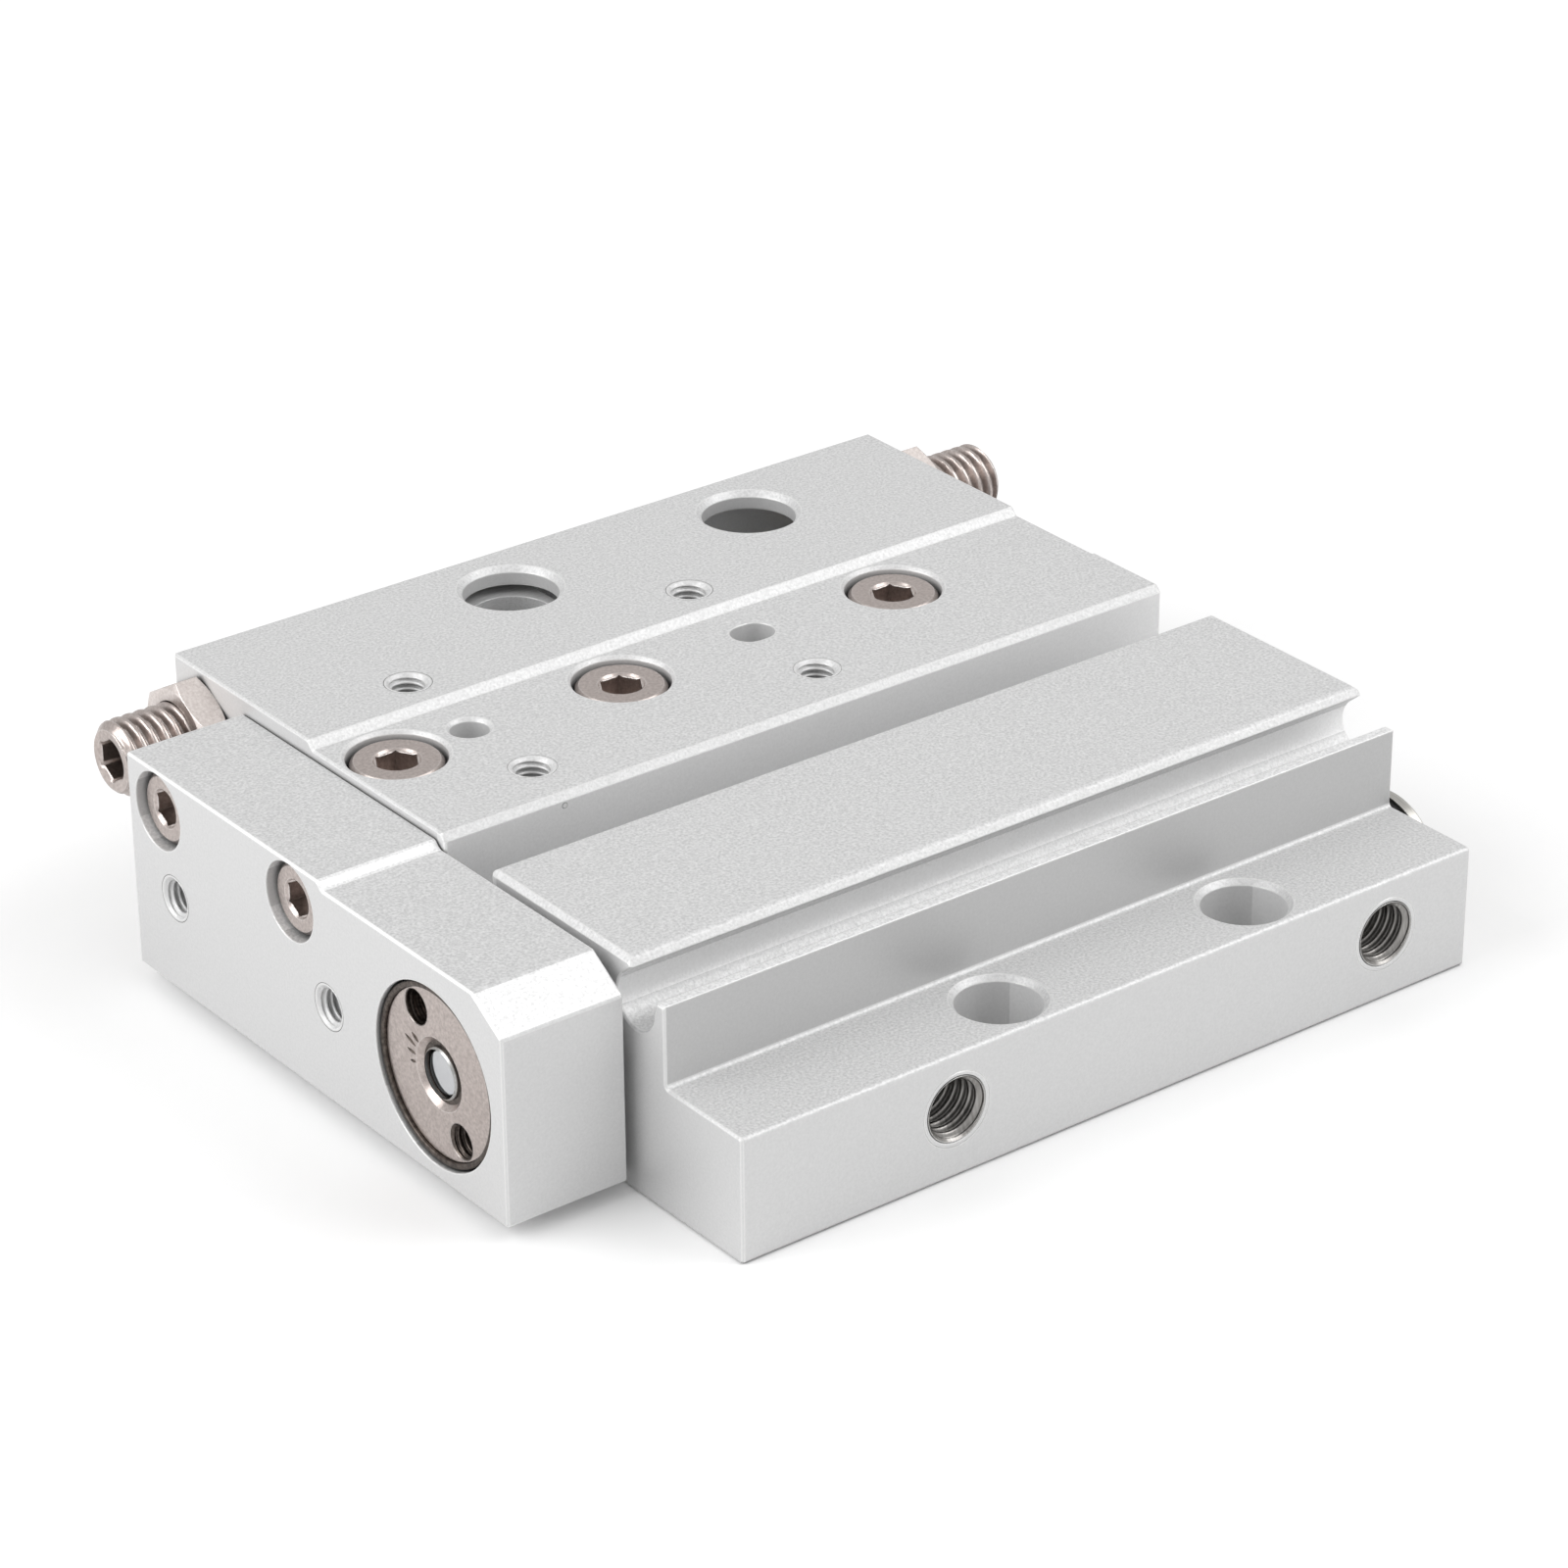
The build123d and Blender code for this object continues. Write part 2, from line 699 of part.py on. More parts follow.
def make_magnet():
    """The magnet ring that the position sensors see."""
    magnet = ring(piston_radius - magnet_sink, piston_radius - magnet_height, magnet_width)
    return along_x(piston_front + magnet_start, bore_y, bore_z) * magnet


def make_rod_cover():
    """The bush that guides the rod, with room for its wiper, its seal and an O-ring."""
    shape = ring(cover_radius - seat_gap, rod_radius + slide_fit, rod_cover_length)
    shape -= groove(cover_radius, o_ring_floor, rod_cover_length / 2, o_ring_groove_width)
    shape -= rod(rod_radius + wiper_height, wiper_length)
    shape -= Pos(0, 0, rod_cover_length - rod_seal_length) * rod(rod_radius + rod_seal_height, rod_seal_length)
    return along_x(rod_cover_start, bore_y, bore_z) * shape


def make_rod_ring(x, height, length):
    """A soft ring round the rod: its wiper or its seal."""
    return along_x(x, bore_y, bore_z) * ring(rod_radius + height, rod_radius + slide_fit, length)


def make_o_ring(groove_start):
    """An O-ring squeezed between a cover's groove and its pocket, which takes its roundness."""
    inner, outer = o_ring_floor, cover_radius - seal_gap
    corner = (outer - inner) / 4
    middle = groove_start + o_ring_groove_width / 2
    outline = [(inner, -corner), (inner + corner, -2 * corner), (outer - corner, -2 * corner), (outer, -corner)]
    outline += [(r, -z) for r, z in reversed(outline)]
    return along_x(middle, bore_y, bore_z) * turned(outline)


def make_rear_plug():
    """The disc that closes the rear of the bore, with its O-ring groove."""
    shape = rod(cover_radius - seat_gap, rear_plug_length)
    shape -= groove(cover_radius, o_ring_floor, rear_plug_groove, o_ring_groove_width)
    return along_x(bore_rear, bore_y, bore_z) * shape


def make_snap_ring(x):
    """An open snap ring in its groove of the body."""
    outer = cover_radius + snap_ring_bite - seat_gap
    half = radians(snap_ring_opening / 2)
    tip_y, tip_x = 2 * outer * sin(half), 2 * outer * cos(half)
    gap = make_face(Polyline((0, 0), (tip_x, tip_y), (tip_x, -tip_y), close=True))
    shape = ring(outer, cover_radius - snap_ring_height, snap_ring_width) - extrude(gap, snap_ring_width)
    return along_x(x, bore_y, bore_z) * shape


def make_bumper(x):
    """A soft ring that takes the last of the piston's travel."""
    return along_x(x, bore_y, bore_z) * ring(bumper_radius, rod_radius + bumper_rod_gap, bumper_length)


def make_rear_port_plug():
    """The round plug screwed in the rear port."""
    face = plug_gasket_thickness + plug_head_height
    outline = [
        (0, -plug_thread_length),
        (port_radius - edge_break, -plug_thread_length),
        (port_radius, edge_break - plug_thread_length),
        (port_radius, plug_gasket_thickness),
        (plug_head_radius, plug_gasket_thickness),
        (plug_head_radius, face - edge_break),
        (plug_head_radius - edge_break, face),
        (0, face),
    ]
    shape = turned(outline) - Pos(0, 0, face - plug_socket_depth) * hexagon(plug_flats, plug_socket_depth)
    return along_x(body_length, rear_port_y, port_height) * shape


def make_rear_port_gasket():
    """The sealing washer under the rear plug's head."""
    gasket = ring(plug_head_radius - edge_break, port_radius + edge_break, plug_gasket_thickness)
    return along_x(body_length, rear_port_y, port_height) * gasket


def make_rail_screws():
    """The screws that hold the fixed rails, put in from below."""
    length = channel_floor - head_clearance - m2_head_height + rail_screw_thread
    screw = socket_screw(m2_head, m2_head_height, m2_flats, m2_shank, length)
    return group(Pos(x, y, head_clearance) * screw for x in rail_screw_x for y in rail_screw_y)


def make_preload_screws():
    """The set screws that press the far rail against the rollers."""
    screw = set_screw(preload_screw_radius, preload_screw_flats, preload_screw_length)
    rail_side = far_rail_span[1]
    return group(along_y(x, rail_side, preload_screw_z) * screw for x in preload_screw_x)


def make_stopper():
    """The hard block on the body that the adjusters strike."""
    far_y = body_width - stopper_far_inset
    shape = block(stopper_front_x, stopper_rear_x, channel_far_y + stopper_near_gap, far_y, flange_height, stopper_top)
    shape = chamfer(shape.edges().filter_by(Axis.Z), edge_break)
    height = stopper_top - flange_height
    shape -= Pos(mount_x[0], mount_y[1], flange_height) * rod(mount_head_radius, height)
    for x in stopper_screw_x:
        top = down(x, mount_y[1], stopper_top)
        shape -= top * rod(m3_head + head_clearance, m3_head_height + head_clearance)
        shape -= top * rod(m3_shank + slide_fit, height)
    return shape


def make_stopper_screws():
    """The screws that hold the stopper to the far flange."""
    top = stopper_top - head_clearance
    length = top - m3_head_height - flange_height + stopper_screw_thread
    screw = socket_screw(m3_head, m3_head_height, m3_flats, m3_shank, length)
    return group(down(x, mount_y[1], top) * screw for x in stopper_screw_x)


def make_table_screws():
    """The three screws that hold the moving rail under the table."""
    top = table_low_top - table_screw_recess
    length = top - m4_head_height - moving_rail_bottom - table_screw_tip_gap
    screw = socket_screw(m4_head, m4_head_height, m4_flats, m4_shank, length)
    return group(down(x, guide_mid_y, top) * screw for x in table_screw_x)


def make_plate_screws():
    """The two screws that hold the end plate to the table."""
    length = plate_thickness - plate_screw_recess - m3_head_height + plate_screw_thread
    screw = socket_screw(m3_head, m3_head_height, m3_flats, m3_shank, length)
    return group(along_x(plate_front + plate_screw_recess, y, plate_screw_z) * screw for y in plate_screw_y)


def make_adjuster_bolt():
    """An adjusting bolt with its hexagon socket at z = 0 and a bore for its tip at the other end."""
    bevelled = adjuster_radius - adjuster_chamfer
    outline = [
        (0, 0),
        (bevelled, 0),
        (adjuster_radius, adjuster_chamfer),
        (adjuster_radius, bolt_length - adjuster_chamfer),
        (bevelled, bolt_length),
        (tip_radius, bolt_length),
        (tip_radius, bolt_length - tip_depth),
        (0, bolt_length - tip_depth),
    ]
    socket = hexagon(adjuster_socket_flats, adjuster_socket_depth) + socket_mouth(adjuster_socket_flats)
    return turned(outline) - socket


def make_adjuster_tip():
    """The soft tip pressed in the inner end of an adjusting bolt."""
    return Pos(0, 0, bolt_length - tip_depth) * rod(tip_radius, tip_depth + tip_reach)


def make_lock_nut():
    """A thin hexagon nut with bevelled corners."""
    corner = lock_nut_flats / 3 ** 0.5
    bevel = (corner - lock_nut_flats / 2) * nut_bevel_slope
    barrel = turned([
        (0, 0),
        (lock_nut_flats / 2, 0),
        (corner, bevel),
        (corner, lock_nut_thickness - bevel),
        (lock_nut_flats / 2, lock_nut_thickness),
        (0, lock_nut_thickness),
    ])
    nut = hexagon(lock_nut_flats, lock_nut_thickness) & barrel
    return nut - rod(adjuster_radius + slide_fit, lock_nut_thickness)


def adjuster_nodes(side, place, table_face, bolt_outer, way):
    """The bolt, tip and lock nut of one adjuster; way is +1 where the bolt goes in along +X."""
    nut_x = table_face - way * lock_nut_thickness
    return {
        f"{side}_adjuster_bolt": place(bolt_outer, adjuster_y, adjuster_z) * make_adjuster_bolt(),
        f"{side}_adjuster_tip": place(bolt_outer, adjuster_y, adjuster_z) * make_adjuster_tip(),
        f"{side}_lock_nut": place(nut_x, adjuster_y, adjuster_z) * make_lock_nut(),
    }


nodes = {
    "body": make_body(),
    "rod_cover": make_rod_cover(),
    "rod_wiper": make_rod_ring(rod_cover_start, wiper_height, wiper_length),
    "rod_seal": make_rod_ring(bore_front - rod_seal_length, rod_seal_height, rod_seal_length),
    "rod_cover_o_ring": make_o_ring(rod_cover_start + rod_cover_length / 2),
    "rod_cover_snap_ring": make_snap_ring(rod_cover_start - snap_ring_width),
    "rear_plug": make_rear_plug(),
    "rear_plug_o_ring": make_o_ring(bore_rear + rear_plug_groove),
    "rear_plug_snap_ring": make_snap_ring(bore_rear + rear_plug_length),
    "front_bumper": make_bumper(bore_front),
    "rear_bumper": make_bumper(bore_rear - bumper_length),
    "rear_port_plug": make_rear_port_plug(),
    "rear_port_gasket": make_rear_port_gasket(),
    "near_fixed_rail": make_fixed_rail(near_rail_span, roller_rows_y[0]),
    "far_fixed_rail": make_fixed_rail(far_rail_span, roller_rows_y[1]),
    "fixed_rail_screws": make_rail_screws(),
    "rail_preload_screws": make_preload_screws(),
    "stopper_block": make_stopper(),
    "stopper_screws": make_stopper_screws(),
    "table": make_table(),
    "moving_rail": make_moving_rail(),
    "table_screws": make_table_screws(),
    "end_plate": make_end_plate(),
    "end_plate_screws": make_plate_screws(),
    "rod_end_nut": make_rod_nut(),
    "floating_sleeve": make_sleeve(),
    "piston_rod": make_piston_rod(),
    "piston": make_piston(),
    "piston_seals": make_piston_seals(),
    "piston_magnet": make_magnet(),
    "near_roller_cage": make_cage(roller_rows_y[0]),
    "near_rollers": make_rollers(roller_rows_y[0]),
    "far_roller_cage": make_cage(roller_rows_y[1]),
    "far_rollers": make_rollers(roller_rows_y[1]),
    **adjuster_nodes("front", along_x, table_front, front_bolt_outer, 1),
    **adjuster_nodes("rear", against_x, adjuster_face, rear_bolt_outer, -1),
}

os.makedirs("parts", exist_ok=True)
to_origin = Pos(-sum(mount_x) / 2, -sum(mount_y) / 2, 0)
for name, shape in nodes.items():
    export_step(to_origin * shape, f"parts/{name}.step")
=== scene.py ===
"""Looks of a low-profile pneumatic slide table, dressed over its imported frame.

Size fields are in millimetres. Meshes are in metres, in the frame's own axes: X along the stroke, Y from
the air ports to the stroke adjusters, Z up.
"""

import json
import logging
import math
from dataclasses import dataclass, field, replace
from enum import Enum

import bmesh
import bpy
import numpy as np
from mathutils import Matrix, Quaternion, Vector


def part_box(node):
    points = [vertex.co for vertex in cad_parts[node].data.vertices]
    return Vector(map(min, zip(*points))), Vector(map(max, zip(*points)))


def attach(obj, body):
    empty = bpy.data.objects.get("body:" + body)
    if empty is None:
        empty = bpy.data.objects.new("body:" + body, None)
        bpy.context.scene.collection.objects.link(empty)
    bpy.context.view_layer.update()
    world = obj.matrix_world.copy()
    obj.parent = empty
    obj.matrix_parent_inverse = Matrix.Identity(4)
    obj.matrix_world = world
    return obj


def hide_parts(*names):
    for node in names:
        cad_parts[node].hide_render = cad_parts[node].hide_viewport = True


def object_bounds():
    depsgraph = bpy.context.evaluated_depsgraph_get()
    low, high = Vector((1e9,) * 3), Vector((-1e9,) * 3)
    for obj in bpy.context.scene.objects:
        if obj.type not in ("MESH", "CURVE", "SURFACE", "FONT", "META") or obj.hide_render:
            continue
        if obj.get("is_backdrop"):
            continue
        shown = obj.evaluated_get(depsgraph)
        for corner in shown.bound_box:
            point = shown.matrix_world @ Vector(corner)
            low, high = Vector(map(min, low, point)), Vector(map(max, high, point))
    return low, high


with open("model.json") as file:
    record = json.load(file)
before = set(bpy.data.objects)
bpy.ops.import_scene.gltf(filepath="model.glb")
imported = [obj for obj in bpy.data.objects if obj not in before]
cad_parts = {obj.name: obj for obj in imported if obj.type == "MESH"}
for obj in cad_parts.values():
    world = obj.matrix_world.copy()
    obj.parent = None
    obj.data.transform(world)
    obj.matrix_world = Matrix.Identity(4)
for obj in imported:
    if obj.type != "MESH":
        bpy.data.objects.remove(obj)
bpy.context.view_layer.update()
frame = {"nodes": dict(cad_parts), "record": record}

MM = 0.001
MICRON = 1e-6
PHOTO_SIDE = 1600
log = logging.getLogger("slide_table")


class Lay(Enum):
    """How a surface was worked, which decides the direction of its fine marks."""

    BLASTED = "blasted"
    GROUND = "ground"
    TURNED = "turned"
    MOULDED = "moulded"


class Side(Enum):
    """The two ends of the table, by the sense in which an adjuster there screws in along X."""

    FRONT = 1
    REAR = -1


def linear(colour: str) -> tuple[float, float, float, float]:
    """Turn an sRGB hex colour into a linear one.

    Args:
        colour: Six hex digits.

    Returns:
        Red, green, blue and an alpha of 1.
    """
    parts = [int(colour[i:i + 2], 16) / 255 for i in (0, 2, 4)]
    red, green, blue = (p / 12.92 if p <= 0.04045 else ((p + 0.055) / 1.055) ** 2.4 for p in parts)
    return red, green, blue, 1.0


def add_node(tree: bpy.types.NodeTree, kind: str, settings: dict | None = None,
             links: dict | None = None) -> bpy.types.Node:
    """Add a node with its settings and links.

    Args:
        tree: The node tree of a material or of the world.
        kind: The node's type name without its ShaderNode prefix.
        settings: Values by the name of an attribute, or else by the name or number of an input.
        links: Output sockets by the name or number of the input that they feed.

    Returns:
        The new node.
    """
    node = tree.nodes.new("ShaderNode" + kind)
    for key, value in (settings or {}).items():
        if isinstance(key, str) and hasattr(node, key):
            setattr(node, key, value)
        else:
            node.inputs[key].default_value = value
    for key, socket in (links or {}).items():
        tree.links.new(socket, node.inputs[key])
    return node


@dataclass(frozen=True)
class Patch:
    """Faces painted lighter or darker as light and shade, in a band across the stroke, by how level they are.

    The rise is the size of the normal's Z part: 1 for a level face, 0 for an upright one. The size of its Y
    part has to be over least_side. The patch's colour is that of the finish times the tone.
    """

    y_mm: tuple[float, float]
    rise: tuple[float, float]
    tone: float
    least_side: float = -1.0

    def factor(self, tree: bpy.types.NodeTree, across: bpy.types.NodeSocket, rise: bpy.types.NodeSocket,
               side: bpy.types.NodeSocket) -> bpy.types.NodeSocket:
        """Make the patch's factor: the tone inside it and 1 outside.

        Args:
            tree: The material's node tree.
            across: The place across the stroke, in metres.
            rise: The size of the normal's Z part.
            side: The size of the normal's Y part.

        Returns:
            The factor.
        """
        low, high = (edge * MM for edge in self.y_mm)
        band = add_node(tree, "Math", {"operation": "COMPARE", 1: (low + high) / 2, 2: (high - low) / 2},
                        {0: across})
        flat, steep = self.rise
        slope = add_node(tree, "Math", {"operation": "COMPARE", 1: (flat + steep) / 2, 2: (steep - flat) / 2},
                         {0: rise})
        both = add_node(tree, "Math", {"operation": "MULTIPLY"},
                        {0: band.outputs["Value"], 1: slope.outputs["Value"]})
        turned = add_node(tree, "Math", {"operation": "GREATER_THAN", 1: self.least_side}, {0: side})
        inside = add_node(tree, "Math", {"operation": "MULTIPLY"},
                          {0: both.outputs["Value"], 1: turned.outputs["Value"]})
        return add_node(tree, "MapRange", {"To Min": 1.0, "To Max": self.tone},
                        {"Value": inside.outputs["Value"]}).outputs["Result"]


@dataclass(frozen=True)
class Finish:
    """A surface finish: what a piece is made of and how its surface was worked.

    The grain is a fine noise that shifts the colour between two values and lifts the surface. Level faces
    take all of it, and upright ones the share upright_grain. Edges are rounded for the light, and a painted
    highlight, partly wear, shows on them as a lighter and smoother line. Narrow gaps are painted darker as
    shade. Patches are painted darker or brighter as light and shade.
    """

    name: str
    dark: str
    bright: str
    metallic: float
    roughness: float
    lay: Lay
    grain_mm: float
    depth_um: float
    edge_mm: float = 0.1
    edge_colour: str = ""
    edge_roughness: float = 0.3
    stretch: float = 12.0
    cavity: float = 0.7
    cavity_mm: float = 1.5
    upright_grain: float = 1.0
    patches: tuple[Patch, ...] = ()

    def grain(self, tree: bpy.types.NodeTree) -> bpy.types.NodeSocket:
        """Make the fine pattern of the surface.

        Args:
            tree: The material's node tree.

        Returns:
            The noise's value, from 0 to 1.
        """
        place = add_node(tree, "TexCoord").outputs["Object"]
        along = (1.0, 1.0, 1.0)
        if self.lay is Lay.GROUND:
            along = (1 / self.stretch, 1.0, 1.0)
        elif self.lay is Lay.TURNED:
            along = (1.0, 1 / self.stretch, 1 / self.stretch)
        turned = add_node(tree, "Mapping", {"Scale": along}, {"Vector": place})
        noise = add_node(tree, "TexNoise",
                         {"Scale": 1 / (self.grain_mm * MM), "Detail": 2.0, "Roughness": 0.6},
                         {"Vector": turned.outputs["Vector"]})
        return noise.outputs["Fac"]

    def turned_grain(self, tree: bpy.types.NodeTree, rise: bpy.types.NodeSocket) -> bpy.types.NodeSocket:
        """Flatten the grain on upright faces: 0.5 + (noise - 0.5) * share, the share growing with the rise.

        Args:
            tree: The material's node tree.
            rise: The size of the normal's Z part.

        Returns:
            The pattern's value, from 0 to 1.
        """
        share = add_node(tree, "MapRange", {"From Min": 0.2, "From Max": 0.9, "To Min": self.upright_grain},
                         {"Value": rise})
        centred = add_node(tree, "Math", {"operation": "SUBTRACT", 1: 0.5}, {0: self.grain(tree)})
        scaled = add_node(tree, "Math", {"operation": "MULTIPLY_ADD", 2: 0.5},
                          {0: centred.outputs["Value"], 1: share.outputs["Result"]})
        return scaled.outputs["Value"]

    def shade(self, tree: bpy.types.NodeTree, rise: bpy.types.NodeSocket,
              side: bpy.types.NodeSocket) -> bpy.types.NodeSocket:
        """Make the factor of the colour: painted shade in narrow gaps and the patches' painted light and
        shade.

        Args:
            tree: The material's node tree.
            rise: The size of the normal's Z part.
            side: The size of the normal's Y part.

        Returns:
            The factor.
        """
        # Painted shade: the colour darkens where ambient occlusion finds narrow gaps and corners
        nearby = add_node(tree, "AmbientOcclusion", {"samples": 6, "Distance": self.cavity_mm * MM})
        gap_shade = add_node(tree, "MapRange", {"From Min": 0.15, "From Max": 0.75, "To Min": self.cavity},
                         {"Value": nearby.outputs["AO"]})
        factor = gap_shade.outputs["Result"]
        place = add_node(tree, "TexCoord").outputs["Object"]
        across = add_node(tree, "SeparateXYZ", None, {"Vector": place}).outputs["Y"]
        for patch in self.patches:
            both = add_node(tree, "Math", {"operation": "MULTIPLY"},
                            {0: factor, 1: patch.factor(tree, across, rise, side)})
            factor = both.outputs["Value"]
        return factor

    def material(self) -> bpy.types.Material:
        """Build the material.

        Returns:
            A node material with grain in its colour and bump, and with worked edges.
        """
        made = bpy.data.materials.new(self.name)
        made.use_nodes = True
        tree = made.node_tree
        tree.nodes.clear()
        face = add_node(tree, "NewGeometry").outputs["Normal"]
        parts = add_node(tree, "SeparateXYZ", None, {"Vector": face})
        rise = add_node(tree, "Math", {"operation": "ABSOLUTE"}, {0: parts.outputs["Z"]}).outputs["Value"]
        side = add_node(tree, "Math", {"operation": "ABSOLUTE"}, {0: parts.outputs["Y"]}).outputs["Value"]
        grain = self.turned_grain(tree, rise)
        level = add_node(tree, "MapRange", {"From Min": 0.3, "From Max": 0.7}, {"Value": grain})
        tone = add_node(tree, "Mix", {"data_type": "RGBA", 6: linear(self.dark), 7: linear(self.bright)},
                        {0: level.outputs["Result"]})
        soft = add_node(tree, "Bevel", {"samples": 6, "Radius": self.edge_mm * MM})
        bump = add_node(tree, "Bump", {"Strength": 1.0, "Distance": self.depth_um * MICRON},
                        {"Height": grain, "Normal": soft.outputs["Normal"]})
        turn = add_node(tree, "VectorMath", {"operation": "DOT_PRODUCT"},
                        {0: soft.outputs["Normal"], 1: face})
        edge = add_node(tree, "MapRange", {"From Min": 0.998, "From Max": 0.93},
                        {"Value": turn.outputs["Value"]})
        # Painted highlight, partly wear: edges are mixed towards the lighter edge colour
        lit_worn_edge = add_node(tree, "Mix", {"data_type": "RGBA", 7: linear(self.edge_colour or self.bright)},
                        {0: edge.outputs["Result"], 6: tone.outputs[2]})
        colour = add_node(tree, "Mix", {"data_type": "RGBA", "blend_type": "MULTIPLY", 0: 1.0},
                          {6: lit_worn_edge.outputs[2], 7: self.shade(tree, rise, side)})
        rough = add_node(tree, "MapRange", {"To Min": self.roughness, "To Max": self.edge_roughness},
                         {"Value": edge.outputs["Result"]})
        shader = add_node(tree, "BsdfPrincipled", {"Metallic": self.metallic},
                          {"Base Color": colour.outputs[2], "Roughness": rough.outputs["Result"],
                           "Normal": bump.outputs["Normal"]})
        add_node(tree, "OutputMaterial", None, {"Surface": shader.outputs["BSDF"]})
        return made


FINISHES = {
    # Extruded 6063, bead-blasted and clear anodised: a silvery satin with a fine sparkle, and bright edges
    # that are a painted highlight
    "anodised_aluminium": Finish("bead_blasted_anodised_aluminium", "CCCCCC", "ECECEC", 0.54, 0.53,
                                 Lay.BLASTED, 0.22, 32.0, 0.2, "FAFAF9", 0.38, cavity=0.25, cavity_mm=0.5,
                                 upright_grain=0.2),
    # Turned 2011 bar left plain: a brighter grey with faint rings
    "machined_aluminium": Finish("turned_aluminium", "B9B9BA", "D2D2D2", 1.0, 0.3,
                                 Lay.TURNED, 0.12, 3.0, 0.08),
    # Stainless screws and nuts with a warm nickel tone, satin from tumbling
    "stainless_steel": Finish("satin_nickel_toned_stainless", "B6ABA6", "D3C8C3", 1.0, 0.3,
                              Lay.BLASTED, 0.25, 3.0, 0.12, "EAE4E0", 0.22, cavity=0.35, cavity_mm=1.8),
    # Alloy steel screws with black oxide: nearly black with a dull sheen
    "alloy_steel_screws": Finish("black_oxide_steel", "2A2A2B", "3B3B3C", 1.0, 0.4,
                                 Lay.BLASTED, 0.2, 4.0, 0.1, "5A5A5A", 0.35),
    # Hardened rails, rollers and stopper, ground along the stroke: mirror-like in one direction
    "hardened_steel": Finish("ground_hardened_steel", "B4B4B6", "CDCDCF", 1.0, 0.22,
                             Lay.GROUND, 0.1, 1.5, 0.1, "E2E2E2", 0.2),
    # Phosphated spring steel: dark grey and dull
    "spring_steel": Finish("phosphated_spring_steel", "4A4A4C", "5E5E60", 1.0, 0.45,
                           Lay.BLASTED, 0.15, 4.0),
    # Ground and hard chromed rod: a clear mirror with a faint blue
    "hard_chrome": Finish("ground_hard_chrome", "D0D1D4", "DCDDDF", 1.0, 0.1,
                          Lay.TURNED, 0.1, 0.5, 0.1),
    # The rod's end, faced off and left bare: a soft grey
    "faced_steel": Finish("faced_rod_steel", "ABABA9", "C1C1BF", 1.0, 0.3, Lay.BLASTED, 0.15, 1.5, 0.1),
    # Threads cut after anodising: bare metal, dulled by cutting oil
    "cut_thread": Finish("oily_cut_aluminium", "8E8B88", "B4B2AF", 1.0, 0.3,
                         Lay.TURNED, 0.2, 3.0, 0.1, "E6E5E3", 0.25, cavity=0.3, cavity_mm=2.5),
    # Nickel-plated brass plug: a neutral silver, a little warm
    "nickel_plate": Finish("nickel_plated_brass", "B3B1AC", "CFCDC8", 1.0, 0.32,
                           Lay.TURNED, 0.2, 2.0, 0.15, "E8E6E2", 0.25, cavity=0.4),
    # A dark brown steel: painted shade in the spanner holes, round the round nut and round the rod's end, and
    # the colour of the staking burrs
    "drilled_steel": Finish("dark_steel_marks_and_painted_shade", "453F3B", "736A64", 1.0, 0.38,
                            Lay.BLASTED, 0.3, 8.0, 0.05, "8A7F78", 0.3, cavity=0.4),
    # Moulded nitrile rubber: matt black with a soft grain
    "nitrile_rubber": Finish("moulded_nitrile_rubber", "161616", "202020", 0.0, 0.6,
                             Lay.MOULDED, 0.3, 6.0),
    # Cast urethane: waxy amber
    "urethane": Finish("cast_urethane", "C2AB78", "D2BF92", 0.0, 0.42, Lay.MOULDED, 0.4, 5.0),
    # Moulded acetal cage: satin black plastic
    "cage_resin": Finish("moulded_acetal_resin", "1B1B1C", "262627", 0.0, 0.45, Lay.MOULDED, 0.3, 3.0),
    # Sintered ferrite: charcoal and dull
    "ferrite_magnet": Finish("sintered_ferrite", "2C2C2D", "38383A", 0.0, 0.6, Lay.BLASTED, 0.15, 5.0),
}

ANODISED = FINISHES["anodised_aluminium"]
UPRIGHT, SLOPING, ANY_Y = (0.0, 0.2), (0.5, 0.93), (-1000.0, 1000.0)
# The table's near edge is painted darker, as shade, so it shines little, and its near side is painted
# brighter, as light
FINISHES["table_anodising"] = replace(ANODISED, name="anodised_with_painted_side_light",
                                      patches=(Patch((-1.0, 0.6), SLOPING, 0.9),
                                               Patch((-1.0, 0.6), UPRIGHT, 1.18)))
# Painted light and shade on the body: its near top edge, with its soft line of light, is painted a little
# darker, the lip's side darker and the groove an even darker grey. The steep faces at the near edge, the
# lip's top, the drilled holes and the wall that faces the table are painted brighter, as light.
FINISHES["body_anodising"] = replace(ANODISED, name="anodised_extrusion",
                                     patches=(Patch((-21.8, -20.4), SLOPING, 0.96),
                                              Patch((-25.3, -24.8), UPRIGHT, 0.78, least_side=0.98),
                                              Patch((-25.03, -24.2), (0.98, 1.0), 1.2),
                                              Patch((-24.1, -21.0), (0.5, 1.0), 0.92),
                                              Patch((-21.7, -19.5), (0.0, 0.5), 1.3, least_side=0.5),
                                              Patch((-31.4, -27.6), UPRIGHT, 1.2, least_side=0.01),
                                              Patch((-5.4, -4.2), UPRIGHT, 1.3)))
# The end plate's bevel and step are painted brighter, a painted highlight that makes them shine white
FINISHES["plate_anodising"] = replace(ANODISED, name="anodised_with_painted_bevel_highlight",
                                      patches=(Patch(ANY_Y, SLOPING, 1.24),))
# The adjusters' nuts are a brighter copy of the stainless, a painted highlight: a pinkish nickel shine on
# their flats
FINISHES["nut_nickel"] = replace(FINISHES["stainless_steel"], name="nickel_with_painted_shine", dark="D8CEC9",
                                 bright="F0E8E4", roughness=0.38)
# The bay's wall is painted brighter on its upright faces, as light
FINISHES["bay_anodising"] = replace(ANODISED, name="anodised_bay_wall",
                                    patches=(Patch((0.0, 35.6), UPRIGHT, 1.3),))
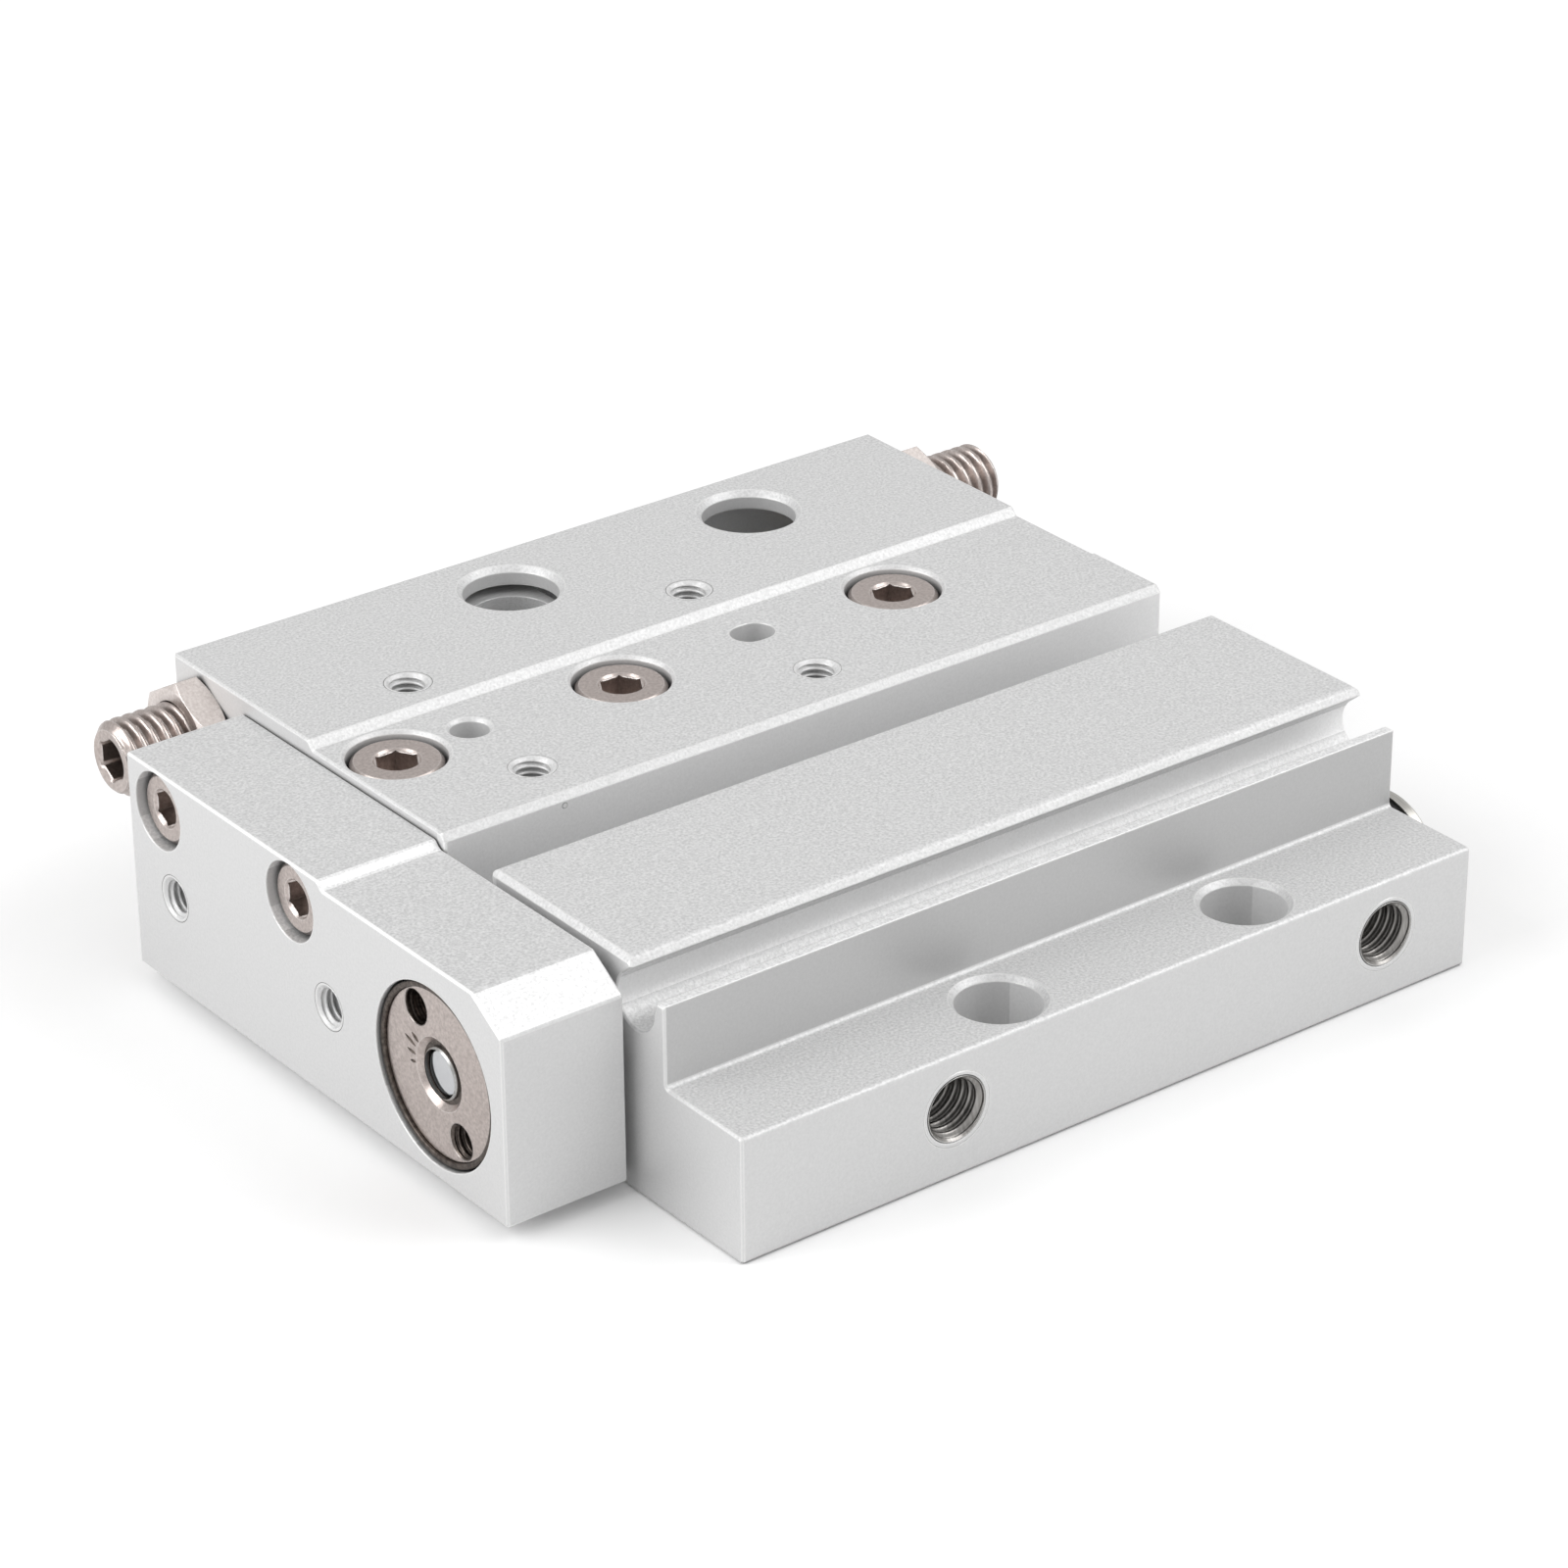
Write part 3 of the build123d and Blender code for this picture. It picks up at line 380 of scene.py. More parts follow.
# The stopper block is satin, and is painted lighter than the other hardened steel, as the light that
# falls through the access holes
FINISHES["stopper_steel"] = replace(FINISHES["hardened_steel"], name="satin_stopper_steel_painted_lighter", dark="C9C9C9",
                                    bright="E0E0E0", metallic=0.4, roughness=0.45)

# Nodes whose surface differs from their slot's
SPECIAL = {"rear_port_plug": "nickel_plate", "table": "table_anodising", "body": "body_anodising",
           "front_lock_nut": "nut_nickel", "rear_lock_nut": "nut_nickel",
           "end_plate": "plate_anodising", "stopper_block": "stopper_steel"}


class Palette:
    """The finishes of the record's material slots, each made into a material once."""

    def __init__(self) -> None:
        """Make every slot's material."""
        self.materials = {slot: finish.material() for slot, finish in FINISHES.items()}

    def dress_nodes(self) -> None:
        """Give every node of the frame the material of its slot."""
        for part in frame["record"]["subparts"]:
            piece = frame["nodes"][part["node"]]
            piece.data.materials.clear()
            piece.data.materials.append(self.materials[SPECIAL.get(part["node"], part["material_slot"])])

    def dress(self, piece: bpy.types.Object, slot: str, finish: str = "") -> None:
        """Give a new piece its material.

        Args:
            piece: The piece to dress.
            slot: The record's material slot, which is named for the export.
            finish: Another finish than the slot's own, where the surface was worked otherwise or is painted
                with light or shade.
        """
        piece.data.materials.append(self.materials[finish or slot])


def mount_place(name: str) -> np.ndarray:
    """Give the place of one of the record's mounts, in millimetres."""
    mounts = {mount["name"]: mount for mount in frame["record"]["mounts"]}
    return np.array(mounts[name]["pos_m"]) / MM


def mount_size(name: str, size: str) -> float:
    """Give one of the named sizes of a mount, in millimetres."""
    mounts = {mount["name"]: mount for mount in frame["record"]["mounts"]}
    return mounts[name]["dims"][size]


def node_box(name: str) -> tuple[np.ndarray, np.ndarray]:
    """Give the lowest and highest corner of a node, in millimetres."""
    low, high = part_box(name)
    return np.array(low) / MM, np.array(high) / MM


@dataclass
class Round:
    """Something made about an axis: where its outer end is, and which way it goes in.

    A point of it has a turn about the axis, a radius and a depth. The axis, with the two directions across
    it, gives the point's place: start + depth * way + radius * (cos turn * up + sin turn * aside).
    """

    start: np.ndarray
    way: np.ndarray

    def places(self, depth: np.ndarray, radius: np.ndarray, turn: np.ndarray) -> np.ndarray:
        """Work out places in millimetres.

        Args:
            depth: Depth along the way, one value for each row and turn.
            radius: Distance from the axis, in the same layout.
            turn: The turns of one row, in radians.

        Returns:
            An array of rows by turns by three coordinates.
        """
        way = self.way / np.linalg.norm(self.way)
        up = np.array([0.0, 0.0, 1.0]) if abs(way[2]) < 0.5 else np.array([1.0, 0.0, 0.0])
        aside = np.cross(way, up)
        around = np.cos(turn)[:, None] * up + np.sin(turn)[:, None] * aside
        return self.start + depth[..., None] * way + radius[..., None] * around


def surface(name: str, rows: np.ndarray, closed_rows: bool, sharp_deg: float) -> bpy.types.Object:
    """Turn a grid of places into a closed mesh object.

    Each row runs once round an axis, so its last point joins its first. Successive rows are joined by
    quads. The first and last rows are joined too, or else each is a pole of one place.

    Args:
        name: The piece's name.
        rows: Rows by turns by three, in millimetres.
        closed_rows: True to join the last row to the first.
        sharp_deg: Edges that turn by more than this stay sharp.

    Returns:
        The object, at the origin.
    """
    count, turns = rows.shape[:2]
    index = np.arange(count * turns).reshape(count, turns)
    beside = np.roll(index, -1, axis=1)
    if closed_rows:
        quads = np.stack([index, beside, np.roll(beside, -1, axis=0), np.roll(index, -1, axis=0)], axis=-1)
    else:
        quads = np.stack([index[:-1], beside[:-1], beside[1:], index[1:]], axis=-1)
    quads = quads.reshape(-1, 4)
    points = rows.reshape(-1, 3) * MM
    if not closed_rows:
        quads = np.where(quads < turns, 0, quads)
        quads = np.where(quads >= (count - 1) * turns, count * turns - 1, quads)
    mesh = bpy.data.meshes.new(name)
    mesh.from_pydata(points.tolist(), [], quads.tolist())
    mesh.validate()
    piece = bpy.data.objects.new(name, mesh)
    bpy.context.scene.collection.objects.link(piece)
    tidy_mesh(mesh, sharp_deg)
    return piece


def tidy_mesh(mesh: bpy.types.Mesh, sharp_deg: float) -> None:
    """Merge doubled places, drop loose ones, point the faces outwards and shade them.

    Args:
        mesh: The mesh to change.
        sharp_deg: Edges that turn by more than this stay sharp.
    """
    work = bmesh.new()
    work.from_mesh(mesh)
    bmesh.ops.remove_doubles(work, verts=work.verts, dist=0.2 * MICRON)
    bmesh.ops.delete(work, geom=[v for v in work.verts if not v.link_faces], context="VERTS")
    bmesh.ops.recalc_face_normals(work, faces=work.faces)
    work.to_mesh(mesh)
    work.free()
    mesh.shade_smooth()
    mesh.set_sharp_from_angle(angle=math.radians(sharp_deg))


@dataclass
class Thread:
    """A screw thread: its pitch and the radii of its crest and its root."""

    pitch: float
    crest: float
    root: float
    rows_per_pitch: int = 14

    def radius(self, depth: np.ndarray, turn: np.ndarray) -> np.ndarray:
        """Work out the thread's radius.

        The phase is the depth over the pitch less the turn's share of a circle. The ridge rises and falls
        once in each phase, along flanks that are rounded at the top and the foot by the smooth step
        3 t^2 - 2 t^3, with a flat crest and a flat root.

        Args:
            depth: Depth along the axis.
            turn: Turn about it, in radians, in a layout that goes with the depth's.

        Returns:
            The radius at each place.
        """
        phase = np.mod(depth / self.pitch - turn / (2 * math.pi), 1.0)
        rise = np.clip((0.5 - np.abs(phase - 0.5)) / 0.5 * 1.35 - 0.12, 0, 1)
        ridge = rise * rise * (3 - 2 * rise)
        return self.root + (self.crest - self.root) * ridge

    def depths(self, first: float, last: float) -> np.ndarray:
        """Give evenly spaced depths that are close enough to draw the thread."""
        count = int(math.ceil((last - first) / self.pitch * self.rows_per_pitch)) + 1
        return np.linspace(first, last, count)


@dataclass
class TappedThread:
    """The thread inside a tapped hole, as a thin sleeve that is sunk in the hole's wall."""

    name: str
    axis: Round
    hole_radius: float
    crest_radius: float
    pitch: float
    depth: float
    chamfer: float
    turns: int = 64
    mouth_bevel: float = 0.15
    wall_sink: float = 0.04
    root_lift: float = 0.015

    def build(self) -> bpy.types.Object:
        """Build the sleeve.

        The inner surface has the thread's radius, but at the mouth no less than a bevel's cone, which is the
        hole's radius plus the bevel less the depth. The outer surface lies in the wall of the hole and of its
        chamfer, whose radius is the hole's plus the chamfer less the depth.

        Returns:
            The sleeve's object.
        """
        thread = Thread(self.pitch, self.crest_radius, self.hole_radius - self.root_lift)
        turn = np.linspace(0, 2 * math.pi, self.turns, endpoint=False)
        depth, angle = np.meshgrid(thread.depths(0, self.depth), turn, indexing="ij")
        inner = np.maximum(thread.radius(depth, angle), self.hole_radius + self.mouth_bevel - depth)
        back = np.array([self.depth, self.chamfer, 0.0])
        outer = self.hole_radius + np.maximum(self.chamfer - back, 0) + self.wall_sink
        flat = np.ones(self.turns)
        rows = self.axis.places(np.vstack([depth, np.outer(back, flat)]),
                                np.vstack([inner, np.outer(outer, flat)]), turn)
        return surface(self.name, rows, True, 40)


@dataclass
class AdjustingScrew:
    """A stroke adjusting screw with a real thread, a hexagon socket and a bore for its soft tip."""

    side: Side
    pitch: float = 1.0
    thread_height: float = 0.58
    bevel: float = 0.6
    socket_flats: float = 3.0
    socket_depth: float = 3.0
    socket_mouth: float = 0.2
    socket_cone: float = 0.7
    tip_radius: float = 1.8
    tip_depth: float = 2.5
    turns: int = 96

    def build(self, palette: Palette) -> bpy.types.Object:
        """Build the screw in place of its plain node.

        The rows go from the foot of the socket, up its six walls, over the flat end and the bevel, along
        the thread and into the tip's bore. The socket's wall is at the half flats over the cosine of the
        turn from the middle of the nearest flat.

        Args:
            palette: The finishes.

        Returns:
            The screw's object.
        """
        node = f"{self.side.name.lower()}_adjuster_bolt"
        low, high = node_box(node)
        length = high[0] - low[0]
        outer_x = low[0] if self.side is Side.FRONT else high[0]
        middle = (low + high) / 2
        axis = Round(np.array([outer_x, middle[1], middle[2]]), np.array([self.side.value, 0.0, 0.0]))
        radius = (high[1] - low[1]) / 2
        thread = Thread(self.pitch, radius, radius - self.thread_height)
        turn = np.linspace(0, 2 * math.pi, self.turns, endpoint=False)
        sixth = math.pi / 3
        socket = self.socket_flats / 2 / np.cos(np.mod(turn, sixth) - sixth / 2)
        depths = thread.depths(0, length)
        depth, angle = np.meshgrid(depths, turn, indexing="ij")
        cone = radius - self.bevel + np.minimum(depth, length - depth)
        body = np.minimum(thread.radius(depth, angle), cone)
        flat = np.ones(self.turns)
        mouth = self.socket_flats / math.sqrt(3) + self.socket_mouth / 2
        head_depths = [self.socket_depth + self.socket_cone, self.socket_depth, self.socket_mouth, 0.0]
        head_radii = [0 * flat, socket, socket, mouth * flat]
        bore = length - self.tip_depth
        tail_depths = [length, bore, bore]
        tail_radii = [self.tip_radius * flat, self.tip_radius * flat, 0 * flat]
        all_depths = np.vstack([np.outer(head_depths, flat), depth, np.outer(tail_depths, flat)])
        all_radii = np.vstack([np.stack(head_radii), body, np.stack(tail_radii)])
        piece = surface(f"{self.side.name.lower()}_adjusting_screw", axis.places(all_depths, all_radii, turn),
                        False, 40)
        palette.dress(piece, "stainless_steel")
        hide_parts(node)
        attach(piece, f"{self.side.name.lower()}_adjuster")
        log.info("%s: %.1f mm of M%.0f thread", piece.name, length, 2 * radius)
        return piece


@dataclass
class TappedHoles:
    """The threads of every tapped hole that can be seen."""

    port_crest: float = 2.1
    port_pitch: float = 0.8
    port_depth: float = 5.0
    port_chamfer: float = 0.45
    small_radius: float = 1.5
    small_crest: float = 1.24
    small_pitch: float = 0.5
    small_chamfer: float = 0.3
    table_depth: float = 4.9
    table_step: float = 0.6
    plate_depth: float = 5.9
    spanner_circle: float = 4.9
    spanner_turn_deg: float = 149.5
    spanner_radius: float = 1.35
    spanner_wear: tuple[float, float] = (0.06, 0.22)
    spanner_depth: float = 1.95

    def build(self, palette: Palette) -> None:
        """Build all the threads, each on the body that holds it."""
        self.ports(palette)
        self.table_holes(palette)
        self.plate_holes(palette)
        self.spanner_holes(palette)

    def add(self, thread: TappedThread, body: str, slot: str, palette: Palette, finish: str = "") -> None:
        """Build one thread, dress it and let it ride.

        Args:
            thread: The thread to build.
            body: The body that it rides on.
            slot: The material slot of the piece that holds it.
            palette: The finishes.
            finish: The finish, where it isn't the slot's own.
        """
        piece = thread.build()
        palette.dress(piece, slot, finish)
        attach(piece, body)
        log.info("%s: M%.1f, %.1f mm deep", piece.name, 2 * thread.hole_radius, thread.depth)

    def ports(self, palette: Palette) -> None:
        """Build the threads of the two air ports in the near side."""
        near_y = node_box("body")[0][1]
        for name in ("front_port", "rear_port"):
            place = mount_place(name)
            axis = Round(np.array([place[0], near_y, place[2]]), np.array([0.0, 1.0, 0.0]))
            radius = mount_size(name, "r_mm")
            thread = TappedThread(f"{name}_thread", axis, radius, self.port_crest, self.port_pitch,
                                  self.port_depth, 0.0, mouth_bevel=0.0)
            self.add(thread, "root", "anodised_aluminium", palette, "cut_thread")
            mouth = PortMouth(f"{name}_rim", axis, radius, self.port_chamfer).build()
            palette.dress(mouth, "anodised_aluminium")
            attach(mouth, "root")

    def table_holes(self, palette: Palette) -> None:
        """Build the threads of the four tapped holes in the table's top."""
        name = "table_mounting_holes"
        middle = mount_place(name)
        half_x, half_y = mount_size(name, "spacing_x_mm") / 2, mount_size(name, "spacing_y_mm") / 2
        top = node_box("table")[1][2]
        for number, (along, across) in enumerate([(-1, -1), (1, -1), (-1, 1), (1, 1)], start=1):
            mouth = top if across > 0 else top - self.table_step
            start = np.array([middle[0] + along * half_x, middle[1] + across * half_y, mouth])
            thread = TappedThread(f"table_thread_{number}", Round(start, np.array([0.0, 0.0, -1.0])),
                                  self.small_radius, self.small_crest, self.small_pitch, self.table_depth,
                                  self.small_chamfer, 48)
            self.add(thread, "table", "anodised_aluminium", palette)

    def plate_holes(self, palette: Palette) -> None:
        """Build the threads of the two tapped holes in the end plate."""
        name = "end_plate_holes"
        middle = mount_place(name)
        front_x = node_box("end_plate")[0][0]
        for number, across in enumerate((-1, 1), start=1):
            start = np.array([front_x, middle[1] + across * mount_size(name, "spacing_x_mm") / 2, middle[2]])
            thread = TappedThread(f"end_plate_thread_{number}", Round(start, np.array([1.0, 0.0, 0.0])),
                                  self.small_radius, self.small_crest, self.small_pitch, self.plate_depth,
                                  self.small_chamfer, 48)
            self.add(thread, "table", "anodised_aluminium", palette)

    def spanner_holes(self, palette: Palette) -> None:
        """Build the rough walls of the round nut's two spanner holes; the lower one has the most wear."""
        low, high = node_box("rod_end_nut")
        middle = (low + high) / 2
        turn = math.radians(self.spanner_turn_deg)
        offset = self.spanner_circle * np.array([0.0, math.sin(turn), -math.cos(turn)])
        for number, sense in enumerate((1, -1), start=1):
            start = np.array([low[0], middle[1], middle[2]]) + sense * offset
            crest = self.spanner_radius - self.spanner_wear[number - 1]
            thread = TappedThread(f"spanner_hole_wall_{number}", Round(start, np.array([1.0, 0.0, 0.0])),
                                  self.spanner_radius, crest, self.small_pitch, self.spanner_depth, 0.0, 48,
                                  0.02)
            # The walls take the dark steel: painted shade inside the holes
            self.add(thread, "table", "stainless_steel", palette, "drilled_steel")


@dataclass
class TurnedRing:
    """A plain ring about an axis, with rounded corners: a band of a groove, a washer or a bead."""

    name: str
    axis: Round
    inner: float
    outer: float
    thickness: float
    turns: int = 72

    def build(self) -> bpy.types.Object:
        """Build the ring.

        Its section is a rounded oblong: a superellipse whose half width and half height are those of the
        section, with the power 2 / 5 on the cosine and the sine.

        Returns:
            The ring's object.
        """
        turn = np.linspace(0, 2 * math.pi, self.turns, endpoint=False)
        around = np.linspace(0, 2 * math.pi, 20, endpoint=False)
        flat = np.ones(self.turns)
        cosine, sine = np.cos(around), np.sin(around)
        across = np.sign(cosine) * np.abs(cosine) ** 0.4 * (self.outer - self.inner) / 2
        along = np.sign(sine) * np.abs(sine) ** 0.4 * self.thickness / 2
        rows = self.axis.places(np.outer(along + self.thickness / 2, flat),
                                np.outer(across + (self.outer + self.inner) / 2, flat), turn)
        return surface(self.name, rows, True, 60)


@dataclass
class PortMouth:
    """The anodised rim of an air port, which leaves its mouth with a small bevel."""

    name: str
    axis: Round
    hole_radius: float
    chamfer: float
    bevel: float = 0.12
    proud: float = 0.001
    lap: float = 0.008
    turns: int = 96

    def build(self) -> bpy.types.Object:
        """Build the rim: its face, the bevel, a short bore and the cone that lies in the port's chamfer."""
        rim = self.hole_radius + self.chamfer + self.lap
        depths = np.array([-self.proud, -self.proud, self.bevel, self.chamfer, self.chamfer])
        radii = np.array([rim, self.hole_radius + 0.03 + self.bevel, self.hole_radius + 0.03,
                          self.hole_radius + 0.03, self.hole_radius + self.lap + 0.04])
        turn = np.linspace(0, 2 * math.pi, self.turns, endpoint=False)
        flat = np.ones(self.turns)
        rows = self.axis.places(np.outer(depths, flat), np.outer(radii, flat), turn)
        return surface(self.name, rows, True, 30)


@dataclass
class RodEnd:
    """The end plate's middle: the nut's rim, the rod's end, painted shade round both, and staking burrs."""

    rim_inner: float = 6.4
    rim_outer: float = 6.86
    rim_proud: float = 0.25
    rim_depth: float = 0.6
    rod_radius: float = 1.95
    rod_bevel: float = 0.14
    rod_proud: float = 0.35
    rod_depth: float = 1.6
    shade_ring_outer: float = 2.36
    shade_ring_lap: float = 0.05
    shade_ring_depth: float = 0.4
    shade_ring_height: float = 0.16
    burr_radius: float = 0.1
    burrs: list[tuple[float, float, float]] = field(default_factory=lambda: [
        (58.0, 2.7, 1.1), (70.0, 2.8, 1.6), (83.0, 2.7, 1.2), (96.0, 2.75, 0.8),
    ])

    def build(self, palette: Palette) -> None:
        """Build the small pieces, dress them and let them ride on the table."""
        low, high = node_box("rod_end_nut")
        face = np.array([low[0], (low[1] + high[1]) / 2, (low[2] + high[2]) / 2])
        way = np.array([1.0, 0.0, 0.0])
        # The rim's dark colour is a painted shadow line in the gap round the nut
        rim = TurnedRing("round_nut_rim", Round(face - self.rim_proud * way, way), self.rim_inner,
                         self.rim_outer, self.rim_proud + self.rim_depth).build()
        palette.dress(rim, "stainless_steel", "drilled_steel")
        # A dark ring of painted shade round the rod's end
        shade_ring = TurnedRing("rod_end_shade_ring", Round(face + self.shade_ring_depth * way, way),
                          self.rod_radius - self.shade_ring_lap, self.shade_ring_outer, self.shade_ring_height).build()
        palette.dress(shade_ring, "stainless_steel", "drilled_steel")
        rod = self.rod(face, way)
        palette.dress(rod, "hard_chrome", "faced_steel")
        pieces = [rim, shade_ring, rod]
        for number, (turn_deg, radius, length) in enumerate(self.burrs, start=1):
            pieces.append(self.burr(number, face, turn_deg, radius, length))
            palette.dress(pieces[-1], "stainless_steel", "drilled_steel")
        for piece in pieces:
            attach(piece, "table")
        log.info("rod end: %d small pieces round %.1f mm of rod", len(pieces), 2 * self.rod_radius)

    def rod(self, face: np.ndarray, way: np.ndarray) -> bpy.types.Object:
        """Build the faced and bevelled end of the rod, which stands in the nut's mouth.

        Args:
            face: The middle of the nut's outer face.
            way: The direction into the nut.

        Returns:
            The rod end's object.
        """
        low, _ = node_box("piston_rod")
        turn = np.linspace(0, 2 * math.pi, 72, endpoint=False)
        depths = np.array([0.0, 0.0, self.rod_bevel, self.rod_depth, self.rod_depth])
        radii = np.array([0.0, self.rod_radius - self.rod_bevel, self.rod_radius, self.rod_radius, 0.0])
        start = np.array([low[0] - self.rod_proud, face[1], face[2]])
        flat = np.ones(len(turn))
        rows = Round(start, way).places(np.outer(depths, flat), np.outer(radii, flat), turn)
        return surface("rod_end_face", rows, False, 30)

    def burr(self, number: int, face: np.ndarray, turn_deg: float, radius: float,
             length: float) -> bpy.types.Object:
        """Build one burr: a spindle that lies on the nut's face and points away from its middle.

        Its radius along its length is burr_radius * sin(pi * share).

        Args:
            number: The burr's number.
            face: The middle of the nut's outer face.
            turn_deg: Its direction from the nut's middle, from up towards +Y.
            radius: The distance at which it begins.
            length: Its length.

        Returns:
            The burr's object.
        """
        turn = math.radians(turn_deg)
        out = np.array([0.0, math.sin(turn), math.cos(turn)])
        around = np.linspace(0, 2 * math.pi, 12, endpoint=False)
        share = np.linspace(0, 1, 13)
        thick = self.burr_radius * np.sin(np.pi * share)
        thick[[0, -1]] = 0.0
        flat = np.ones(len(around))
        rows = Round(face + radius * out, out).places(np.outer(share * length, flat),
                                                      np.outer(thick, flat), around)
        return surface(f"staking_burr_{number}", rows, False, 60)


@dataclass
class SidePit:
    """The small dark pit in the table's near side."""

    x: float = -27.73
    z: float = 18.5
    radius: float = 0.3
    proud: float = 0.02
    rim_depth: float = 0.04
    foot_depth: float = 0.1

    def build(self, palette: Palette) -> None:
        """Build the pit as a flat, round dark spot whose rim sinks into the side."""
        near_y = node_box("table")[0][1]
        turn = np.linspace(0, 2 * math.pi, 28, endpoint=False)
        share = np.array([0.0, 0.7, 1.0, 1.0, 0.0])
        depths = np.array([-self.proud, -self.proud, self.rim_depth, self.foot_depth, self.foot_depth])
        flat = np.ones(len(turn))
        axis = Round(np.array([self.x, near_y, self.z]), np.array([0.0, 1.0, 0.0]))
        rows = axis.places(np.outer(depths, flat), np.outer(share * self.radius, flat), turn)
        piece = surface("table_side_pit", rows, False, 60)
        palette.dress(piece, "anodised_aluminium", "cage_resin")
        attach(piece, "table")
        log.info("%s: %.2f mm across", piece.name, 2 * self.radius)


@dataclass
class BayWall:
    """The thin wall that closes the table's adjuster bay along its far side."""

    thickness: float = 0.45
    end_lap: float = 0.3
    end_wall: float = 5.0
    skin: float = 1.5
    foot_rise: float = 0.9
    flange_height: float = 9.9
    inset: float = 0.02
    squareness: float = 0.2

    def build(self, palette: Palette) -> None:
        """Build the wall as an oblong tube of surface, carried along the stroke and closed at its ends.

        Its section is a superellipse: half_y * |cos|**squareness across, half_z * |sin|**squareness up.
        """
        low, high = node_box("table")
        front = low[0] + self.end_wall - self.end_lap
        rear = high[0] - self.end_wall - self.end_lap
        foot = self.flange_height + self.foot_rise
        top = high[2] - self.skin + self.end_lap
        half_y, half_z = self.thickness / 2, (top - foot) / 2
        around = np.linspace(0, 2 * math.pi, 48, endpoint=False)
        cosine, sine = np.cos(around), np.sin(around)
        middle_y, middle_z = high[1] - half_y - self.inset, (top + foot) / 2
        y = np.sign(cosine) * np.abs(cosine) ** self.squareness * half_y
        z = np.sign(sine) * np.abs(sine) ** self.squareness * half_z
        stations = np.array([front, front, rear, rear])
        shrink = np.array([0.0, 1.0, 1.0, 0.0])
        rows = np.empty((4, len(around), 3))
        rows[..., 0] = stations[:, None]
        rows[..., 1] = middle_y + shrink[:, None] * y
        rows[..., 2] = middle_z + shrink[:, None] * z
        piece = surface("adjuster_bay_wall", rows, False, 35)
        palette.dress(piece, "anodised_aluminium", "bay_anodising")
        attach(piece, "table")
        log.info("%s: %.1f by %.1f mm", piece.name, rear - front, top - foot)


@dataclass
class Softbox:
    """A square lamp with a diffuser, placed about the object by its heading and height.

    The heading is the angle from +X towards +Y, and the brightness is the radiance of its face.
    """

    name: str
    heading_deg: float
    height_deg: float
    distance: float
    side: float
    brightness: float

    def build(self, target: Vector) -> None:
        """Place the lamp and turn it to the target, a point in metres."""
        heading, height = math.radians(self.heading_deg), math.radians(self.height_deg)
        way = Vector((math.cos(heading) * math.cos(height), math.sin(heading) * math.cos(height),
                      math.sin(height)))
        lamp = bpy.data.lights.new(self.name, "AREA")
        lamp.shape = "SQUARE"
        lamp.size = self.side * MM
        lamp.energy = self.brightness * math.pi * (self.side * MM) ** 2
        holder = bpy.data.objects.new(self.name, lamp)
        holder.location = target + way * self.distance * MM
        holder.rotation_euler = way.to_track_quat("Z", "Y").to_euler()
        bpy.context.scene.collection.objects.link(holder)


